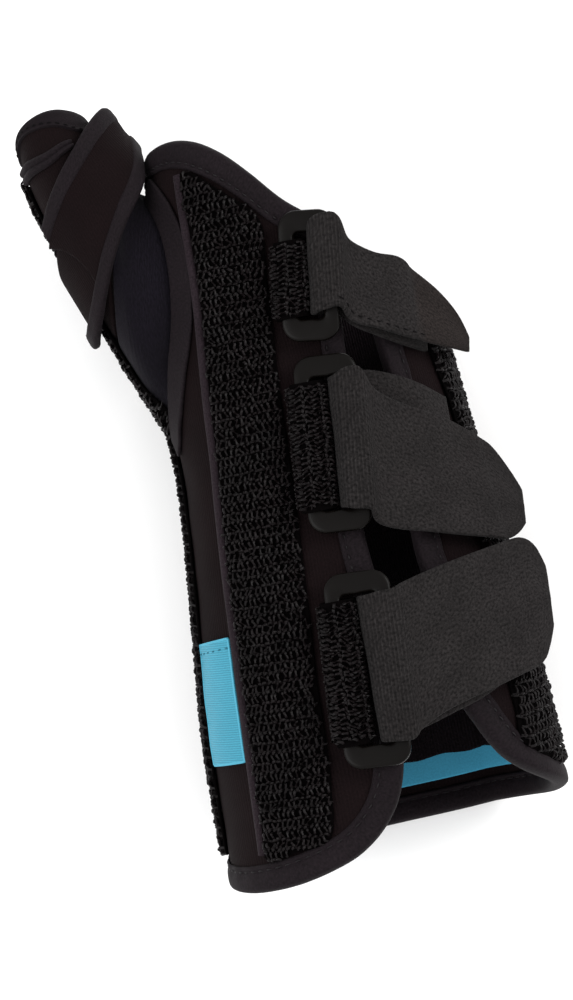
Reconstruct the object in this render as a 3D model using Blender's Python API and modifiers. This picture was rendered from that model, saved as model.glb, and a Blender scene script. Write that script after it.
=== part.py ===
"""Thumb spica brace: a wrist and thumb brace of laminated fabric panels, lying on its back.

X runs across the brace, Y along it towards the fingers and Z up from the back wall to the opening.
Sizes are in metres. Tables marked mm are in millimetres.
"""

import functools
import math

import bmesh
import bpy
import numpy as np
from mathutils import Vector

MM = 0.001

# Body tube
BRACE_LENGTH = 0.200
FOREARM_WIDTH = 0.0938
FOREARM_HEIGHT = 0.072
TOP_ROUNDNESS = 2.3
BASE_ROUNDNESS = 2.8
BASE_FLAT_SHARE = 0.06
WALL = 0.0024

# Sewn parts
BINDING_WIDTH = 0.0065
BINDING_WALL = 0.0009
FIT_GAP = 0.0003
LOOP_PILE = 0.0018
KNIT_PANEL = 0.0010
LINING_PANEL = 0.0009
KNIT_START = 0.0185
LINING_REACH = 0.028
PIPING_RADIUS = 0.0008

# Straps and rings
STRAP_THICKNESS = 0.0018
TAB_THICKNESS = 0.0010
RING_BAR = 0.0040
RING_ARM = 0.0058
RING_THICKNESS = 0.0030
RING_SEAT = 0.0036
RING_LEAN = 0.0017

# Thumb
SLEEVE_WALL = 0.0020
THUMB_STRAP_THICKNESS = 0.0016
THUMB_BINDING_WIDTH = 0.0050
THUMB_BINDING_THICKNESS = 0.0026
TONGUE_REACH = 0.0045
GUSSET_END = 0.34

# Facets of the tube, and spacing of its cross lines
TURN_FACETS = 40
CROSS_SPACING = 0.0145

# Sections of the tube, as shares of the brace length, the forearm width and the forearm height
SECTION_COLUMNS = ("along", "centre", "half_width", "height", "lift")
SECTIONS = (
    (0.00, 0.000, 0.500, 1.000, 0.045),
    (0.05, 0.000, 0.499, 1.000, 0.017),
    (0.12, -0.002, 0.494, 0.992, 0.000),
    (0.20, -0.003, 0.488, 0.975, 0.000),
    (0.40, 0.002, 0.451, 0.875, 0.000),
    (0.55, 0.000, 0.423, 0.805, 0.000),
    (0.64, -0.012, 0.418, 0.776, 0.000),
    (0.72, -0.020, 0.412, 0.750, 0.022),
    (0.80, -0.022, 0.403, 0.728, 0.040),
    (0.93, -0.005, 0.376, 0.710, 0.080),
    (1.00, 0.015, 0.356, 0.700, 0.115),
)

# Outline of the body panel: turns round the tube from the top towards +X, and mm along it
OUTLINE_COLUMNS = ("turn", "along")
OUTLINE = (
    (0.096, 50.0), (0.096, 36.0), (0.095, 20.0), (0.082, 0.0), (0.074, -18.0), (0.079, -34.0),
    (0.075, -56.0), (0.079, -68.0), (0.094, -76.5), (0.118, -81.5), (0.148, -85.5), (0.190, -88.5),
    (0.250, -92.0), (0.320, -95.0), (0.410, -97.0), (0.500, -97.8), (0.600, -98.8), (0.700, -99.7),
    (0.780, -100.0), (0.835, -99.6), (0.885, -98.0), (0.928, -95.2), (0.960, -91.8), (0.987, -86.0),
    (1.006, -78.0), (1.017, -66.0), (1.023, -50.0), (1.024, -30.0), (1.020, -12.0), (1.028, 8.0),
    (1.046, 30.0), (1.058, 50.0), (1.062, 64.0), (1.054, 70.5), (1.038, 73.2), (1.008, 78.2),
    (0.972, 86.0), (0.940, 91.8), (0.908, 96.0), (0.880, 98.4), (0.850, 99.6), (0.815, 99.6),
    (0.770, 98.6), (0.710, 96.0), (0.650, 91.0), (0.590, 82.5), (0.510, 69.0), (0.420, 57.0), (0.320, 49.5),
    (0.240, 46.8), (0.180, 49.5), (0.130, 55.5), (0.106, 58.5), (0.098, 56.5),
)

# Thumb opening in the body panel: turns round the opening, mm round the tube from the top, mm along it
OPENING_COLUMNS = ("turn", "across", "along")
OPENING = (
    (0.00, -53.0, 88.2), (0.08, -43.5, 86.2), (0.16, -36.3, 79.5), (0.24, -33.4, 68.0),
    (0.32, -35.0, 54.0), (0.40, -41.5, 40.0), (0.46, -47.5, 29.5), (0.50, -53.5, 22.5),
    (0.56, -61.0, 27.5), (0.64, -69.0, 40.0), (0.74, -75.0, 57.0), (0.84, -72.5, 73.0),
    (0.92, -64.5, 84.5),
)

# Flat pieces sewn on the body panel, in mm across from the top and mm along
PATCH_COLUMNS = ("across", "along")
FRONT_STRIP = (
    (-24.6, 90.8), (-23.6, 74.0), (-23.4, 57.0), (-25.4, 41.0), (-28.0, 25.0), (-31.5, 3.0),
    (-33.6, -18.0), (-35.4, -39.0), (-36.5, -60.0), (-37.8, -80.0), (-38.3, -90.0),
    (-28.0, -88.8), (-18.0, -85.8), (-15.4, -74.0), (-14.4, -62.0), (-13.9, -47.0), (-12.2, -22.0),
    (-10.9, -1.0), (-9.6, 15.0), (-6.4, 41.0), (-4.8, 60.0), (-4.4, 73.6), (-13.0, 82.8),
)
BACK_STRIP = (
    (-52.6, 16.0), (-52.4, 0.0), (-53.3, -20.0), (-54.6, -35.0), (-57.8, -66.0), (-61.0, -80.0),
    (-64.5, -91.0), (-84.0, -91.5), (-80.0, -70.0), (-76.0, -40.0), (-73.0, -10.0), (-70.0, 16.0),
)
RIGHT_STRIP = (
    (37.6, 38.5), (39.4, 15.0), (38.6, -10.0), (37.2, -52.0), (37.6, -65.0), (39.4, -75.5),
    (62.0, -83.5), (60.5, -60.0), (60.0, -20.0), (60.0, 15.0), (58.0, 38.5),
)
SIDE_LABEL = ((-53.4, -35.2), (-38.6, -34.4), (-39.6, -66.2), (-56.0, -66.8))
PIPING = (
    (-25.9, 90.4), (-24.9, 74.0), (-24.7, 57.0), (-26.7, 41.0), (-29.3, 25.0), (-32.8, 3.0),
    (-34.9, -18.0), (-36.7, -39.0), (-37.8, -60.0), (-39.1, -80.0), (-39.6, -90.0),
)

# Rings: mm to the centre, mm of the outside, and lean of the long side
RING_COLUMNS = ("x", "y", "width", "length", "turn_degrees")
RINGS = {
    "ring_1": (4.0, 56.6, 15.2, 34.5, 8.2),
    "ring_2": (1.7, 12.3, 16.8, 47.0, 4.4),
    "ring_3": (-0.9, -46.4, 17.4, 50.5, 3.0),
}

# Tabs that hold the rings: mm along the brace, and the loop round the bar in mm from it
TAB_COLUMNS = ("high", "low")
TABS = {"ring_tab_1": (66.5, 46.4), "ring_tab_2": (29.2, -4.4), "ring_tab_3": (-28.0, -64.6)}
TAB_LOOP_COLUMNS = ("across", "above_body")
TAB_LOOP = (
    (-2.2, 0.95), (0.4, 0.9), (3.2, 0.95), (4.8, 1.9), (5.1, 3.6), (4.2, 5.2),
    (1.6, 6.0), (-1.2, 5.95), (-2.7, 5.0), (-3.0, 2.9),
)

# Straps, from the sewn end to the free end: mm to the finger-side and forearm-side edge of each
# row, and mm above the body, the ring's bar or the crown of the tube
STRAP_COLUMNS = ("from", "x_high", "y_high", "x_low", "y_low", "above")
STRAPS = {
    "strap_1": (
        ("body", 33.0, 43.0, 31.5, 32.0, 1.9), ("body", 27.0, 48.0, 25.5, 34.5, 3.5),
        ("body", 20.5, 54.0, 19.0, 38.0, 3.4), ("body", 14.6, 62.5, 12.6, 42.0, 3.2),
        ("bar", 1.0, 67.3, 1.0, 46.2, -2.9), ("bar", -2.9, 67.3, -2.9, 46.2, -2.7),
        ("bar", -4.8, 67.3, -4.8, 46.2, -0.5), ("bar", -4.3, 67.6, -4.2, 46.4, 2.4),
        ("bar", -1.6, 70.4, -1.0, 46.8, 4.0), ("bar", 2.2, 69.8, 2.4, 46.6, 3.8),
        ("crown", 15.6, 64.2, 13.0, 42.4, 7.0), ("crown", 21.6, 59.6, 19.2, 39.6, 4.6),
        ("crown", 28.0, 57.4, 25.6, 36.6, 1.2), ("crown", 31.6, 53.6, 30.4, 34.7, -1.6),
        ("crown", 37.5, 47.2, 36.6, 32.2, -5.8), ("crown", 41.6, 40.5, 40.4, 30.8, -8.8),
        ("crown", 43.8, 33.4, 43.0, 29.8, -11.0),
    ),
    "strap_2": (
        ("body", 34.0, 19.0, 33.0, -12.5, 1.9), ("body", 27.0, 24.0, 26.0, -11.5, 3.1),
        ("body", 20.0, 27.6, 18.5, -9.5, 2.9), ("body", 14.0, 29.6, 12.0, -8.0, 3.2),
        ("bar", 1.0, 29.4, 1.0, -4.9, -2.9), ("bar", -3.2, 29.4, -3.2, -4.9, -2.7),
        ("bar", -5.2, 29.4, -5.2, -4.8, -0.5), ("bar", -4.3, 29.7, -4.6, -4.8, 2.4),
        ("bar", -1.4, 31.0, -3.0, -5.4, 4.0), ("bar", 2.4, 30.4, 1.6, -6.6, 4.0),
        ("crown", 14.2, 25.0, 9.4, -10.4, 7.4), ("crown", 18.5, 21.0, 14.5, -13.0, 5.4),
        ("crown", 25.4, 16.8, 22.4, -15.2, 2.8), ("crown", 32.0, 13.2, 30.0, -17.6, -1.2),
        ("crown", 38.0, 8.6, 37.0, -19.6, -5.2), ("crown", 43.0, 4.4, 42.2, -21.2, -8.6),
        ("crown", 46.8, -2.6, 45.8, -20.6, -11.2), ("crown", 49.6, -9.6, 48.8, -18.2, -13.2),
    ),
    "strap_3": (
        ("body", 35.0, -27.0, 34.0, -57.5, 1.9), ("body", 27.5, -26.5, 26.0, -60.0, 3.4),
        ("body", 20.0, -26.0, 18.0, -62.0, 2.9), ("body", 13.0, -26.5, 10.0, -64.0, 3.2),
        ("bar", 1.0, -27.8, 1.0, -64.6, -2.9), ("bar", -3.8, -27.8, -3.0, -64.8, -2.7),
        ("bar", -6.4, -27.8, -4.7, -65.0, -0.5), ("bar", -5.4, -27.8, -4.2, -65.0, 2.4),
        ("bar", -1.6, -27.3, -1.0, -65.2, 4.0), ("bar", 2.4, -27.2, 2.6, -65.4, 3.8),
        ("crown", 12.6, -26.2, 9.6, -63.6, 7.2), ("crown", 18.0, -25.0, 16.0, -60.8, 5.4),
        ("crown", 24.5, -23.8, 23.0, -59.0, 3.6), ("crown", 31.0, -22.8, 30.0, -57.6, 1.2),
        ("crown", 39.0, -21.8, 38.0, -56.0, -2.8), ("crown", 45.5, -21.3, 44.6, -54.4, -6.6),
        ("crown", 49.2, -24.2, 47.6, -51.0, -9.4), ("crown", 51.3, -31.0, 50.2, -45.4, -11.6),
    ),
}

# Rings of the thumb sleeve: share of its length, mm to its outer and inner side, mm up, mm half height
SLEEVE_COLUMNS = ("along", "outer_x", "outer_y", "inner_x", "inner_y", "up", "half_height")
SLEEVE = (
    (0.25, -46.5, 43.0, -42.5, 94.5, 30.0, 18.5),
    (0.50, -54.2, 64.0, -43.8, 100.4, 32.0, 17.5),
    (0.75, -61.0, 84.0, -45.4, 105.0, 34.5, 15.0),
    (0.90, -64.8, 98.4, -47.0, 108.4, 36.0, 13.0),
    (1.00, -65.4, 107.6, -48.6, 112.0, 37.0, 11.0),
)

# Thumb strap: degrees round the sleeve from its inner side over the top, share along the sleeve
# and mm off the middle of the sleeve's wall, for the edge at the tip and the edge at the wrist
THUMB_STRAP_COLUMNS = ("round", "along_high", "off_high", "along_low", "off_low")
THUMB_STRAP = (
    (-110.0, 0.86, 3.4, 0.50, 3.9), (-70.0, 0.92, 3.7, 0.50, 4.2), (-35.0, 0.96, 5.4, 0.50, 6.4),
    (-5.0, 0.97, 7.2, 0.49, 8.6), (20.0, 0.95, 6.8, 0.42, 9.8), (45.0, 0.88, 4.8, 0.30, 9.8),
    (70.0, 0.82, 3.5, 0.30, 5.6), (95.0, 0.79, 3.3, 0.33, 3.8), (120.0, 0.77, 3.4, 0.355, 3.5),
    (145.0, 0.745, 4.8, 0.365, 4.8), (168.0, 0.69, 6.3, 0.365, 6.1), (188.0, 0.63, 6.6, 0.375, 6.4),
)
STRAP_END_ROUND = 166.0
TAB_START_ROUND = 138.0
SEAM_COLUMNS = ("round", "along")
SEAM = ((162.0, 0.888), (144.0, 0.876), (126.0, 0.866), (108.0, 0.857), (94.0, 0.852))
LOOP_STRIP_ALONG = (0.03, 0.085, 0.17, 0.255, 0.34, 0.36, 0.455, 0.55, 0.645, 0.74, 0.835, 0.88)


def clear_scene():
    for item in list(bpy.data.objects):
        bpy.data.objects.remove(item, do_unlink=True)


def read_table(rows, at, closed=0.0):
    """Every column of a table at one value of its first column, along a smooth curve."""
    keys = [row[0] for row in rows]
    if closed:
        rows = rows[-2:] + rows + rows[:2]
        keys = [k - closed for k in keys[-2:]] + keys + [k + closed for k in keys[:2]]
        at = at % closed
    at = min(max(at, keys[0]), keys[-1])
    i = min(max(int(np.searchsorted(keys, at, side="right")) - 1, 0), len(keys) - 2)
    span = keys[i + 1] - keys[i]
    q = (at - keys[i]) / span
    values = []
    for column in range(1, len(rows[0])):
        before, after = max(i - 1, 0), min(i + 2, len(keys) - 1)
        low, high = rows[i][column], rows[i + 1][column]
        slope_low = (high - rows[before][column]) / (keys[i + 1] - keys[before])
        slope_high = (rows[after][column] - low) / (keys[after] - keys[i])
        values.append(
            (2 * q**3 - 3 * q**2 + 1) * low
            + (q**3 - 2 * q**2 + q) * span * slope_low
            + (3 * q**2 - 2 * q**3) * high
            + (q**3 - q**2) * span * slope_high
        )
    return values


def section_at(y):
    """Centre, half width, height and lift of the tube at y, in metres."""
    centre, half_width, height, lift = read_table(SECTIONS, y / BRACE_LENGTH + 0.5)
    lift = max(lift, 0.0)
    return centre * FOREARM_WIDTH, half_width * FOREARM_WIDTH, height * FOREARM_HEIGHT, lift * FOREARM_HEIGHT


def section_points(y, angles, offset):
    """Points of the tube's section at y, at angles from the top towards +X."""
    centre, half_width, height, lift = section_at(y)
    flat = BASE_FLAT_SHARE * height
    half_height = (height + flat) / 2
    across, up = np.sin(angles), np.cos(angles)
    power = np.where(up > 0, TOP_ROUNDNESS, BASE_ROUNDNESS)
    radius = (
        np.abs(across / (half_width + offset)) ** power + np.abs(up / (half_height + offset)) ** power
    ) ** (-1 / power)
    x = centre + radius * across
    z = np.maximum(lift - flat + half_height + radius * up, lift - offset)
    return x, z


@functools.lru_cache(maxsize=4000)
def girth_at(y):
    """Angles of a fine section at y and its length round from the top, both as arrays."""
    angles = np.linspace(-math.pi, math.pi, 361)
    x, z = section_points(y, angles, 0.0)
    length = np.concatenate([[0.0], np.cumsum(np.hypot(np.diff(x), np.diff(z)))])
    return angles, length - length[180]


def girth(y):
    lengths = girth_at(round(y, 5))[1]
    return lengths[-1] - lengths[0]


def turn_of(across, y):
    """Turns round the tube of a place given in metres round from its top."""
    return across / girth(y)


def smooth_body_point(turn, y, offset):
    angles, lengths = girth_at(round(y, 5))
    whole = math.floor(turn + 0.5)
    angle = np.interp((turn - whole) * (lengths[-1] - lengths[0]), lengths, angles)
    x, z = section_points(y, np.array([angle]), offset)
    return Vector((x[0], y, z[0]))


def body_point(turn, y, offset, facets=TURN_FACETS):
    """A point on the faceted tube: offset is the distance outside the body panel's outer face."""
    low = math.floor(turn * facets + 1e-9)
    first = smooth_body_point(low / facets, y, offset)
    second = smooth_body_point((low + 1) / facets, y, offset)
    return first.lerp(second, turn * facets - low)


def body_height(x, y):
    """Height of the tube's upper side at x and y."""
    angles = np.linspace(-math.pi / 2, math.pi / 2, 181)
    section_x, section_z = section_points(y, angles, 0.0)
    return float(np.interp(x, section_x, section_z))


def crown(y):
    _, _, height, lift = section_at(y)
    return height + lift


def add_object(mesh_tool, name):
    """Turn a bmesh into an object with outward faces."""
    bmesh.ops.recalc_face_normals(mesh_tool, faces=mesh_tool.faces)
    mesh = bpy.data.meshes.new(name)
    mesh_tool.to_mesh(mesh)
    mesh_tool.free()
    item = bpy.data.objects.new(name, mesh)
    bpy.context.scene.collection.objects.link(item)
    return item


def smooth_loop(points, step):
    """A closed smooth curve through the points, sampled finely."""
    count = len(points)
    loop = []
    for i in range(count):
        p0, p1, p2, p3 = (Vector(points[(i + k - 1) % count]) for k in range(4))
        parts = max(2, int((p2 - p1).length / step))
        for j in range(parts):
            q = j / parts
            loop.append(
                0.5 * ((2 * p1) + (p2 - p0) * q + (2 * p0 - 5 * p1 + 4 * p2 - p3) * q**2
                       + (3 * p1 - p0 - 3 * p2 + p3) * q**3)
            )
    return loop


def thin_out(loop, spacing, bend):
    """Keep points of a fine closed loop by distance and by how much it has turned."""
    kept = [loop[0]]
    travelled, turned = 0.0, 0.0
    for i in range(1, len(loop)):
        step = loop[i] - loop[i - 1]
        travelled += step.length
        ahead = loop[(i + 1) % len(loop)] - loop[i]
        if step.length > 0 and ahead.length > 0:
            turned += step.angle(ahead)
        if travelled >= spacing or (turned >= bend and travelled > 0.3 * spacing):
            kept.append(loop[i])
            travelled, turned = 0.0, 0.0
    return kept


def snap_to_facets(loop, facets):
    """Move the parts of a loop that run round the tube onto its facet lines."""
    step = PATTERN_GIRTH / facets
    fine = []
    for a, b in zip(loop, loop[1:] + loop[:1]):
        fine.append(a)
        first, last = sorted((a.x / step, b.x / step))
        if abs(b.x - a.x) > 0.8 * abs(b.y - a.y):
            lines = [k for k in range(math.ceil(first), math.floor(last) + 1) if first < k < last]
            fine += sorted((a.lerp(b, (k * step - a.x) / (b.x - a.x)) for k in lines),
                           key=lambda p: (p - a).length)
    on_line = [abs(p.x / step - round(p.x / step)) < 1e-6 for p in fine]
    kept = []
    for i, point in enumerate(fine):
        near = [fine[i - 1], fine[(i + 1) % len(fine)]]
        close = min((point - p).length for p, line in zip(near, (on_line[i - 1], on_line[(i + 1) % len(fine)])) if line) \
            if on_line[i - 1] or on_line[(i + 1) % len(fine)] else 1.0
        if on_line[i] or close > 0.62 * step:
            kept.append(point)
    return kept


def inset_loop(loop, distance):
    """Move a closed flat loop inwards by a distance."""
    area = sum(a.x * b.y - b.x * a.y for a, b in zip(loop, loop[1:] + loop[:1]))
    side = 1 if area > 0 else -1
    moved = []
    for i, point in enumerate(loop):
        along = (loop[(i + 1) % len(loop)] - loop[i - 1]).normalized()
        moved.append(point + side * distance * Vector((-along.y, along.x)))
    return moved


# The pattern is drawn flat: across is turns times this girth, so widths are nearly true
PATTERN_GIRTH = 0.245


def to_pattern(across, along):
    """Pattern place of mm across from the top and mm along."""
    y = along * MM
    turn = turn_of(across * MM, y)
    return Vector(((turn + 1 if across < 0 else turn) * PATTERN_GIRTH, y))


def outline_loop(spacing):
    rough = [Vector((turn * PATTERN_GIRTH, along * MM)) for turn, along in OUTLINE]
    return thin_out(smooth_loop(rough, 0.0008), spacing, math.radians(16))


def opening_loop(spacing):
    rough = []
    for i in range(48):
        across, along = read_table(OPENING, i / 48, closed=1.0)
        rough.append(to_pattern(across, along))
    return thin_out(smooth_loop(rough, 0.0008), spacing, math.radians(18))


def flat_solid(loop, low, high, facets, spacing, name):
    """A flat pattern piece, cut along the facet lines of the tube, with its thickness."""
    tool = bmesh.new()
    face = tool.faces.new([tool.verts.new((p.x, p.y, low)) for p in loop])
    if face.normal.z > 0:
        face.normal_flip()
    step = PATTERN_GIRTH / facets
    for i in range(math.ceil(min(p.x for p in loop) / step), math.floor(max(p.x for p in loop) / step) + 1):
        bmesh.ops.bisect_plane(tool, geom=tool.verts[:] + tool.edges[:] + tool.faces[:], dist=2e-5,
                               plane_co=(i * step, 0, 0), plane_no=(1, 0, 0))
    for i in range(math.ceil(min(p.y for p in loop) / spacing), math.floor(max(p.y for p in loop) / spacing) + 1):
        bmesh.ops.bisect_plane(tool, geom=tool.verts[:] + tool.edges[:] + tool.faces[:], dist=2e-5,
                               plane_co=(0, i * spacing, 0), plane_no=(0, 1, 0))
    grown = bmesh.ops.extrude_face_region(tool, geom=tool.faces[:])
    tops = [v for v in grown["geom"] if isinstance(v, bmesh.types.BMVert)]
    bmesh.ops.translate(tool, verts=tops, vec=(0, 0, high - low))
    return add_object(tool, name)


def cut_flat(piece, loop):
    """Cut a hole with the outline of the loop through a flat pattern piece."""
    tool = bmesh.new()
    tool.faces.new([tool.verts.new((p.x, p.y, -0.02)) for p in loop])
    grown = bmesh.ops.extrude_face_region(tool, geom=tool.faces[:])
    tops = [v for v in grown["geom"] if isinstance(v, bmesh.types.BMVert)]
    bmesh.ops.translate(tool, verts=tops, vec=(0, 0, 0.04))
    cutter = add_object(tool, piece.name + "_cutter")
    cut = piece.modifiers.new("opening", "BOOLEAN")
    cut.operation = "DIFFERENCE"
    cut.solver = "EXACT"
    cut.object = cutter
    graph = bpy.context.evaluated_depsgraph_get()
    mesh = bpy.data.meshes.new_from_object(piece.evaluated_get(graph))
    piece.modifiers.clear()
    piece.data = mesh
    bpy.data.objects.remove(cutter, do_unlink=True)


def wrap(piece, facets=TURN_FACETS):
    """Bend a flat pattern piece round the tube."""
    for vertex in piece.data.vertices:
        flat = vertex.co.copy()
        vertex.co = body_point(flat.x / PATTERN_GIRTH, flat.y, flat.z, facets)
    tool = bmesh.new()
    tool.from_mesh(piece.data)
    bmesh.ops.recalc_face_normals(tool, faces=tool.faces)
    tool.to_mesh(piece.data)
    tool.free()
    return piece


def panel(name, loop, low, high, facets=TURN_FACETS, spacing=CROSS_SPACING, hole=None):
    piece = flat_solid(loop, low, high, facets, spacing, name)
    if hole:
        cut_flat(piece, hole)
    return wrap(piece, facets)


def patch(name, rows, low, high):
    """A flat piece sewn on the outside of the body panel."""
    loop = [to_pattern(across, along) for across, along in rows]
    return panel(name, loop, low, high)


def swept(name, stations, section, place, closed=True):
    """A section of (inwards, outwards) pairs swept along stations, each put in space by place()."""
    tool = bmesh.new()
    around, along = len(section), len(stations)
    bmesh.ops.create_grid(tool, x_segments=along if closed else along - 1, y_segments=around, size=0.5)
    columns = along if closed else along - 1
    for vertex in tool.verts:
        i = round((vertex.co.x + 0.5) * columns) % along
        j = round((vertex.co.y + 0.5) * around) % around
        vertex.co = place(stations[i], *section[j])
    bmesh.ops.remove_doubles(tool, verts=tool.verts, dist=1e-6)
    if not closed:
        bmesh.ops.holes_fill(tool, edges=[e for e in tool.edges if e.is_boundary], sides=0)
    return add_object(tool, name)


def ribbon(name, rows, thickness, across=2, parts=2, closed=False):
    """A band through rows of (edge, other edge) points, smooth along and straight across."""
    count = len(rows)
    sides = []
    for side in (0, 1):
        line = []
        for i in range(count if closed else count - 1):
            near = [(i + k - 1) % count if closed else min(max(i + k - 1, 0), count - 1) for k in range(4)]
            p0, p1, p2, p3 = (rows[k][side] for k in near)
            for j in range(parts):
                q = j / parts
                line.append(
                    0.5 * ((2 * p1) + (p2 - p0) * q + (2 * p0 - 5 * p1 + 4 * p2 - p3) * q**2
                           + (3 * p1 - p0 - 3 * p2 + p3) * q**3)
                )
        if not closed:
            line.append(rows[-1][side])
        sides.append(line)
    steps = len(sides[0]) if closed else len(sides[0]) - 1
    tool = bmesh.new()
    bmesh.ops.create_grid(tool, x_segments=steps, y_segments=across, size=0.5)
    for vertex in tool.verts:
        i = round((vertex.co.x + 0.5) * steps) % len(sides[0])
        share = vertex.co.y + 0.5
        vertex.co = sides[0][i].lerp(sides[1][i], share)
    if closed:
        bmesh.ops.remove_doubles(tool, verts=tool.verts, dist=1e-6)
    piece = add_object(tool, name)
    thicken(piece, thickness)
    return piece


def thicken(piece, thickness, offset=0.0):
    solid = piece.modifiers.new("thickness", "SOLIDIFY")
    solid.thickness = thickness
    solid.offset = offset
    solid.use_even_offset = True
    solid.use_rim = True


def build_body():
    edge = snap_to_facets(outline_loop(0.0085), TURN_FACETS)
    hole = opening_loop(0.006)
    shell_edge = inset_loop(edge, BINDING_WALL + FIT_GAP)
    shell_hole = inset_loop(hole, -(SLEEVE_WALL / 2 + 2.5 * FIT_GAP))
    panel("shell", shell_edge, -WALL, 0.0, hole=shell_hole)

    # Folded tape round the outline: a channel that takes the panel's edge
    inner, outer = -WALL - 1.7 * FIT_GAP, 1.7 * FIT_GAP
    channel = (
        (0.0, outer + BINDING_WALL), (BINDING_WIDTH, outer + BINDING_WALL), (BINDING_WIDTH, outer),
        (BINDING_WALL, outer), (BINDING_WALL, inner), (BINDING_WIDTH, inner),
        (BINDING_WIDTH, inner - BINDING_WALL), (0.0, inner - BINDING_WALL),
    )
    far = inset_loop(edge, BINDING_WIDTH)

    def place(station, inwards, outwards):
        near, deep = station
        flat = near.lerp(deep, inwards / BINDING_WIDTH)
        return body_point(flat.x / PATTERN_GIRTH, flat.y, outwards)

    swept("edge_binding", list(zip(edge, far)), channel, place)

    # Knit and lining inside, stopping short of the folded tape
    inner_edge = inset_loop(edge, BINDING_WIDTH + FIT_GAP)
    knit_low = -WALL - 2 * FIT_GAP - LINING_PANEL - FIT_GAP
    start = min(p.y for p in edge) + KNIT_START
    knit_edge = [Vector((p.x, max(p.y, start + 0.08 * max(0.0, 0.5 * PATTERN_GIRTH - p.x)))) for p in inner_edge]
    knit_hole = inset_loop(hole, -(SLEEVE_WALL / 2 + 0.003))
    panel("inner_knit", thin_out(knit_edge, 0.006, 0.3), knit_low - KNIT_PANEL, knit_low,
          facets=TURN_FACETS // 2, spacing=0.029, hole=knit_hole)
    reach = min(p.y for p in edge) + LINING_REACH
    lining_low = -WALL - FIT_GAP
    lining_edge = [Vector((p.x, min(p.y, reach))) for p in inset_loop(edge, BINDING_WIDTH + 9 * FIT_GAP)]
    panel("lining", thin_out(lining_edge, 0.006, 0.3), lining_low - LINING_PANEL, lining_low)


def build_patches():
    outside = FIT_GAP
    patch("front_loop_strip", FRONT_STRIP, outside, outside + LOOP_PILE)
    patch("back_loop_strip", BACK_STRIP, outside, outside + LOOP_PILE)
    patch("right_loop_strip", RIGHT_STRIP, outside, outside + LOOP_PILE)
    patch("side_label", SIDE_LABEL, outside, outside + 0.0007)
    ridge = [to_pattern(across, along) for across, along in PIPING]
    section = [
        (PIPING_RADIUS * math.cos(math.tau * i / 6), outside + PIPING_RADIUS * (1 + math.sin(math.tau * i / 6)))
        for i in range(6)
    ]
    swept("strip_edge_piping", ridge, section,
          lambda at, side, out: body_point(at.x / PATTERN_GIRTH + side / girth(at.y), at.y, out), closed=False)

    # Tape sewn on the body round the front of the thumb opening
    rows = []
    for i in range(13):
        across, along = read_table(OPENING, 0.09 + 0.40 * i / 12, closed=1.0)
        ahead = read_table(OPENING, 0.095 + 0.40 * i / 12, closed=1.0)
        course = Vector((ahead[0] - across, ahead[1] - along)).normalized()
        outwards = Vector((-course.y, course.x))
        near = Vector((across, along)) + 1.5 * outwards
        rows.append((near, near + 6.0 * outwards))
    rise = outside + 0.0006
    ribbon("gusset_binding",
           [tuple(body_point(turn_of(p.x * MM, p.y * MM), p.y * MM, rise) for p in pair) for pair in rows],
           0.0011, across=2, parts=1)


def ring_frame(name):
    """Centre and the across, along and out directions of a ring lying over the front panel."""
    x, y, width, length, turn = RINGS[name]
    x, y, width, length = x * MM, y * MM, width * MM, length * MM
    ends = [Vector((x, y + side * 0.42 * length, body_height(x, y + side * 0.42 * length))) for side in (-1, 1)]
    along = (ends[1] - ends[0]).normalized()
    turned = math.radians(turn)
    along = Vector((math.sin(turned), along.y * math.cos(turned), along.z)).normalized()
    across = Vector((math.cos(turned), -math.sin(turned), 0.0))
    across = (across + Vector((0, 0, RING_LEAN / width))).normalized()
    along = (along - across * along.dot(across)).normalized()
    out = across.cross(along)
    high = max(body_height(x, y + 0.1 * k * length) - ends[0].lerp(ends[1], (0.42 + 0.1 * k) / 0.84).z
               for k in range(-4, 5))
    centre = ends[0].lerp(ends[1], 0.5) + Vector((0, 0, high + RING_SEAT + RING_LEAN / 2))
    return centre, across, along, out, width, length


def build_ring(name):
    centre, across, along, out, width, length = ring_frame(name)
    outer_a, outer_b = width / 2, length / 2
    inner_a, inner_b = outer_a - RING_BAR, outer_b - RING_ARM
    stations = []
    for quarter, (sign_a, sign_b) in enumerate(((1, 1), (-1, 1), (-1, -1), (1, -1))):
        for k in range(4):
            angle = math.pi / 2 * (quarter + k / 3)
            edge = Vector((
                sign_a * (outer_a - 0.0045) + 0.0045 * math.cos(angle),
                sign_b * (outer_b - 0.0045) + 0.0045 * math.sin(angle),
            ))
            bore = Vector((
                sign_a * (inner_a - 0.0012) + 0.0012 * math.cos(angle),
                sign_b * (inner_b - 0.0012) + 0.0012 * math.sin(angle),
            ))
            stations.append((edge, bore))
    half = RING_THICKNESS / 2
    section = ((0.0, -0.4 * half), (0.0, 0.4 * half), (0.2, half), (0.8, half), (1.0, 0.4 * half),
               (1.0, -0.4 * half), (0.8, -half), (0.2, -half))

    def place(station, share, rise):
        flat = station[0].lerp(station[1], share)
        return centre + across * flat.x + along * flat.y + out * rise

    swept(name, stations, section, place)


def bar_at(ring, side, y):
    """Place of a ring's long bar where it crosses y: side is 1 for the bar over the opening."""
    centre, across, along, _, width, _ = ring_frame(ring)
    middle = centre + across * side * (width / 2 - RING_BAR / 2)
    return middle + along * ((y - middle.y) / along.y)


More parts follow.
